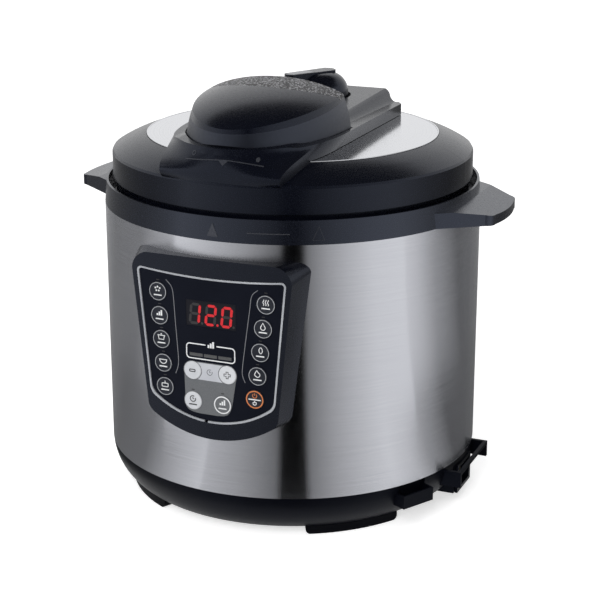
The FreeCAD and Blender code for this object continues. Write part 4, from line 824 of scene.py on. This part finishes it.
marks = Drawing(ring_surface, MARK_HEIGHT)
closed_low = [(side * TRIANGLE_HALF, TRIANGLE_LOW) for side in (-1.0, 0.0, 1.0)]
closed_high = [(side * TRIANGLE_TIP_HALF, TRIANGLE_HIGH) for side in (-1.0, 0.0, 1.0)]
marks.strip(closed_low, closed_high)
open_middle = round_ring(OPEN_BEARING)
# the open triangle is drawn as a lighter outline, a painted highlight along its raised edge
marks.line([(open_middle - TRIANGLE_HALF, TRIANGLE_LOW), (open_middle + TRIANGLE_HALF, TRIANGLE_LOW),
            (open_middle, TRIANGLE_HIGH)], TRIANGLE_LINE_WIDE, True)
marks.line([(round_ring(bearing), MARK_LINE_Z) for bearing in MARK_LINE_BEARINGS], MARK_LINE_WIDE)
# the raised ring marks get the lighter grey, a painted highlight
marks.piece("ring_marks", EMBOSS_PAINTED_HIGHLIGHT, "cooker_body")


def solid_of(node):
    mesh = NODES[node].data
    places = [vertex.co for vertex in mesh.vertices]
    return BVHTree.FromPolygons(places, [face.vertices for face in mesh.polygons])


LID_SOLID = solid_of("lid_cover")
APRON_RADIUS = 124.0
OUTSIDE = 0.25


def apron_surface(u, v, lift):
    """Points drawn as millimetres round the lid's front and height, found from outside on the cover."""
    angle = u / APRON_RADIUS
    outward = Vector((math.sin(angle), -math.cos(angle), 0.0))
    start = outward * OUTSIDE + Vector((0.0, 0.0, v * MM))
    hit, normal, face, away = LID_SOLID.ray_cast(start, -outward)
    return hit + normal * lift * MM


POINTER_HEIGHT = 0.22
POINTER_LINE = ((-25.0, 260.0), (-10.0, 261.2), (4.0, 262.2), (15.0, 261.4), (31.0, 259.2))
POINTER_LINE_WIDE = 0.55
ARROW_HIGH = ((0.0, 262.1), (3.8, 262.2), (7.6, 262.0))
ARROW_LOW = ((3.7, 258.8), (3.8, 258.8), (3.9, 258.8))
OPEN_RING = (-19.4, 264.2, 1.3)
OPEN_RING_WIDE = 0.5
CLOSED_DISC = (26.6, 262.9, 1.4)
pointer = Drawing(apron_surface, POINTER_HEIGHT)
pointer.line(smooth_run(POINTER_LINE), POINTER_LINE_WIDE)
pointer.strip(ARROW_HIGH, ARROW_LOW)
pointer.ring(*OPEN_RING, OPEN_RING_WIDE, 16)
pointer.disc(*CLOSED_DISC, 14)
# the raised pointer marks get the lighter grey, a painted highlight
pointer.piece("lid_pointer", POINTER, "lid")


PLATE_NODE = NODES["trim_plate"]
PLATE_CORNERS = [PLATE_NODE.matrix_world @ Vector(corner) for corner in PLATE_NODE.bound_box]
PLATE_TOP = max(corner.z for corner in PLATE_CORNERS)
PLATE_RADIUS = max(corner.x for corner in PLATE_CORNERS) / MM
BEAD_WIDE = 0.9
BEAD_OUT = 0.12
BEAD_HEIGHT = 0.12
BEAD_SINK = 0.6
BEAD_STEPS = 240


def plate_surface(u, v, lift):
    """Points drawn in plan, laid on the trim plate."""
    return Vector((u * MM, v * MM, PLATE_TOP + lift * MM))


bead = Drawing(plate_surface, BEAD_HEIGHT, BEAD_SINK)
bead.ring(0.0, 0.0, PLATE_RADIUS + BEAD_OUT - BEAD_WIDE / 2.0, BEAD_WIDE, BEAD_STEPS)
bead.piece("plate_bead", PLATE, "lid")


# Floor, light and camera

CAMERA_TURN = 23.0
CAMERA_AWAY = 1.152
CAMERA_HEIGHT = 0.4971
CAMERA_PITCH = 17.62
CAMERA_YAW = 0.25
CAMERA_LENS = 98.94
CAMERA_SENSOR = 36.0
AMBIENT = 0.3
FLOOR_SIZE = 8.0
FLOOR_GLOW = 0.62


def background_rays(tree):
    """One for rays that see the background: straight from the camera, by a reflection or through glass."""
    path = tree.nodes.new("ShaderNodeLightPath")
    total = path.outputs["Is Camera Ray"]
    for kind in ("Is Glossy Ray", "Is Transmission Ray"):
        add = tree.nodes.new("ShaderNodeMath")
        add.operation = "ADD"
        add.use_clamp = True
        tree.links.new(total, add.inputs[0])
        tree.links.new(path.outputs[kind], add.inputs[1])
        total = add.outputs["Value"]
    return total


def make_floor():
    bpy.ops.mesh.primitive_plane_add(size=FLOOR_SIZE, location=(0.0, 0.0, 0.0))
    floor = bpy.context.object
    floor.name = "floor"
    material, tree, shader = new_material("studio_floor")
    haze = noise(tree, coordinates(tree, (1.0, 1.0, 1.0)), 2.0)
    tree.links.new(colour_ramp(tree, haze, ((0.3, (0.86, 0.86, 0.86)), (0.7, (0.88, 0.88, 0.88)))),
                   shader.inputs["Base Color"])
    shader.inputs["Roughness"].default_value = 0.9
    tree.links.new(background_rays(tree), shader.inputs["Emission Strength"])
    shader.inputs["Emission Color"].default_value = (FLOOR_GLOW, FLOOR_GLOW, FLOOR_GLOW, 1.0)
    floor.data.materials.append(material)


def make_world():
    """A white background, and soft grey light from all round for the matt surfaces."""
    world = bpy.data.worlds.new("studio")
    bpy.context.scene.world = world
    world.use_nodes = True
    tree = world.node_tree
    seen = tree.nodes.new("ShaderNodeMix")
    seen.data_type = "RGBA"
    tree.links.new(background_rays(tree), seen.inputs["Factor"])
    seen.inputs["A"].default_value = (AMBIENT, AMBIENT, AMBIENT, 1.0)
    seen.inputs["B"].default_value = (1.0, 1.0, 1.0, 1.0)
    tree.links.new(seen.outputs["Result"], tree.nodes["Background"].inputs["Color"])


def make_card(name, rings, span, tones, steps=48):
    """A studio card round the object that only reflections show, graded by the bearing from the camera.

    rings gives radius and height of its rows, span its first and last bearing, tones bearing and grey level.
    """
    toward_camera = CAMERA_TURN - 90.0
    points = []
    for radius, height in rings:
        for step in range(steps + 1):
            angle = math.radians(toward_camera + span[0] + (span[1] - span[0]) * step / steps)
            points.append((radius * math.cos(angle), radius * math.sin(angle), height))
    faces = []
    for row in range(len(rings) - 1):
        for step in range(steps):
            here = row * (steps + 1) + step
            faces.append((here, here + 1, here + steps + 2, here + steps + 1))
    mesh = bpy.data.meshes.new(name)
    mesh.from_pydata(points, [], faces)
    card = bpy.data.objects.new(name, mesh)
    bpy.context.scene.collection.objects.link(card)
    material, tree, shader = new_material(name)
    source = tree.nodes.new("ShaderNodeTexCoord")
    turn = tree.nodes.new("ShaderNodeMapping")
    turn.inputs["Rotation"].default_value = (0.0, 0.0, math.radians(-toward_camera))
    tree.links.new(source.outputs["Object"], turn.inputs["Vector"])
    bearing = tree.nodes.new("ShaderNodeTexGradient")
    bearing.gradient_type = "RADIAL"
    tree.links.new(turn.outputs["Vector"], bearing.inputs["Vector"])
    stops = [(0.5 + degrees / 360.0, (level, level, level)) for degrees, level in tones]
    tree.links.new(colour_ramp(tree, bearing.outputs["Fac"], stops), shader.inputs["Emission Color"])
    shader.inputs["Emission Strength"].default_value = 1.0
    shader.inputs["Base Color"].default_value = (0.0, 0.0, 0.0, 1.0)
    shader.inputs["Specular IOR Level"].default_value = 0.0
    mesh.materials.append(material)
    card.visible_camera = False
    card.visible_diffuse = False
    card.visible_transmission = False
    card.visible_shadow = False


def make_lamp(name, place, target, width, height, power):
    data = bpy.data.lights.new(name, "AREA")
    data.shape = "RECTANGLE"
    data.size = width
    data.size_y = height
    data.energy = power
    lamp = bpy.data.objects.new(name, data)
    lamp.location = place
    aim = Vector(target) - Vector(place)
    lamp.rotation_euler = aim.to_track_quat("-Z", "Y").to_euler()
    lamp.visible_glossy = False
    bpy.context.scene.collection.objects.link(lamp)


def make_sun(name, aim, strength, softness):
    """Even light from above, so that the floor stays pale into the distance."""
    data = bpy.data.lights.new(name, "SUN")
    data.energy = strength
    data.angle = math.radians(softness)
    sun = bpy.data.objects.new(name, data)
    sun.location = (0.0, 0.0, 2.0)
    sun.rotation_euler = Vector(aim).to_track_quat("-Z", "Y").to_euler()
    sun.visible_glossy = False
    bpy.context.scene.collection.objects.link(sun)


def make_camera():
    turn = math.radians(CAMERA_TURN)
    data = bpy.data.cameras.new("camera")
    data.lens = CAMERA_LENS
    data.sensor_width = CAMERA_SENSOR
    camera = bpy.data.objects.new("camera", data)
    camera.location = (CAMERA_AWAY * math.sin(turn), -CAMERA_AWAY * math.cos(turn), CAMERA_HEIGHT)
    camera.rotation_euler = (math.radians(90.0 - CAMERA_PITCH), 0.0, math.radians(CAMERA_TURN - CAMERA_YAW))
    bpy.context.scene.collection.objects.link(camera)
    bpy.context.scene.camera = camera


# Studio cards: rows as radius and height in metres, first and last bearing, and grey levels by bearing
LOW_ROWS = ((0.145, 0.003), (0.25, 0.055))
SIDE_ROWS = ((0.25, 0.055), (0.36, 0.11), (0.6, 0.24))
FRONT_ROWS = ((0.15, 0.004), (0.36, 0.112), (0.8, 0.75))
TOP_ROWS = ((0.001, 1.1), (1.4, 1.1))
REAR_TOP_ROWS = ((0.001, 1.1), (0.86, 1.1))
CARDS = (
    ("front_card", FRONT_ROWS, (-62.0, 58.0), (
        (-62.0, 1.0), (-40.0, 0.7), (-22.0, 0.46), (-6.4, 0.2), (-4.7, 0.0), (4.7, 0.0),
        (6.4, 0.25), (17.0, 0.5), (27.0, 0.7), (40.0, 0.92), (58.0, 1.0))),
    ("left_low_card", LOW_ROWS, (-165.0, -36.0), (
        (-165.0, 0.8), (-128.0, 0.24), (-96.0, 0.16), (-68.0, 0.2), (-52.0, 0.5), (-36.0, 0.85))),
    ("left_card", SIDE_ROWS, (-165.0, -50.0), (
        (-165.0, 0.8), (-136.0, 0.3), (-118.0, 0.22), (-88.0, 0.24), (-68.0, 0.55), (-50.0, 1.0))),
    ("right_low_card", LOW_ROWS, (40.0, 165.0), (
        (40.0, 0.92), (50.0, 0.75), (60.0, 0.42), (78.0, 0.12), (128.0, 0.16), (165.0, 0.8))),
    ("right_card", SIDE_ROWS, (52.0, 165.0), (
        (52.0, 1.0), (66.0, 0.75), (78.0, 0.42), (100.0, 0.14), (136.0, 0.2), (165.0, 0.8))),
    ("top_card", TOP_ROWS, (-95.0, 95.0), ((-95.0, 0.1), (0.0, 0.05), (95.0, 0.1))),
    ("rear_top_card", REAR_TOP_ROWS, (95.0, 265.0), ((-180.0, 0.06), (180.0, 0.06))),
)

make_floor()
make_world()
for card in CARDS:
    make_card(*card)
make_sun("overhead", aim=(0.1, 0.15, -1.0), strength=1.1, softness=70.0)
make_lamp("front_fill", place=(0.1, -1.5, 1.0), target=(0.0, -0.1, 0.14), width=0.9, height=0.9, power=16.0)
make_camera()
bpy.context.scene.view_settings.view_transform = "Standard"
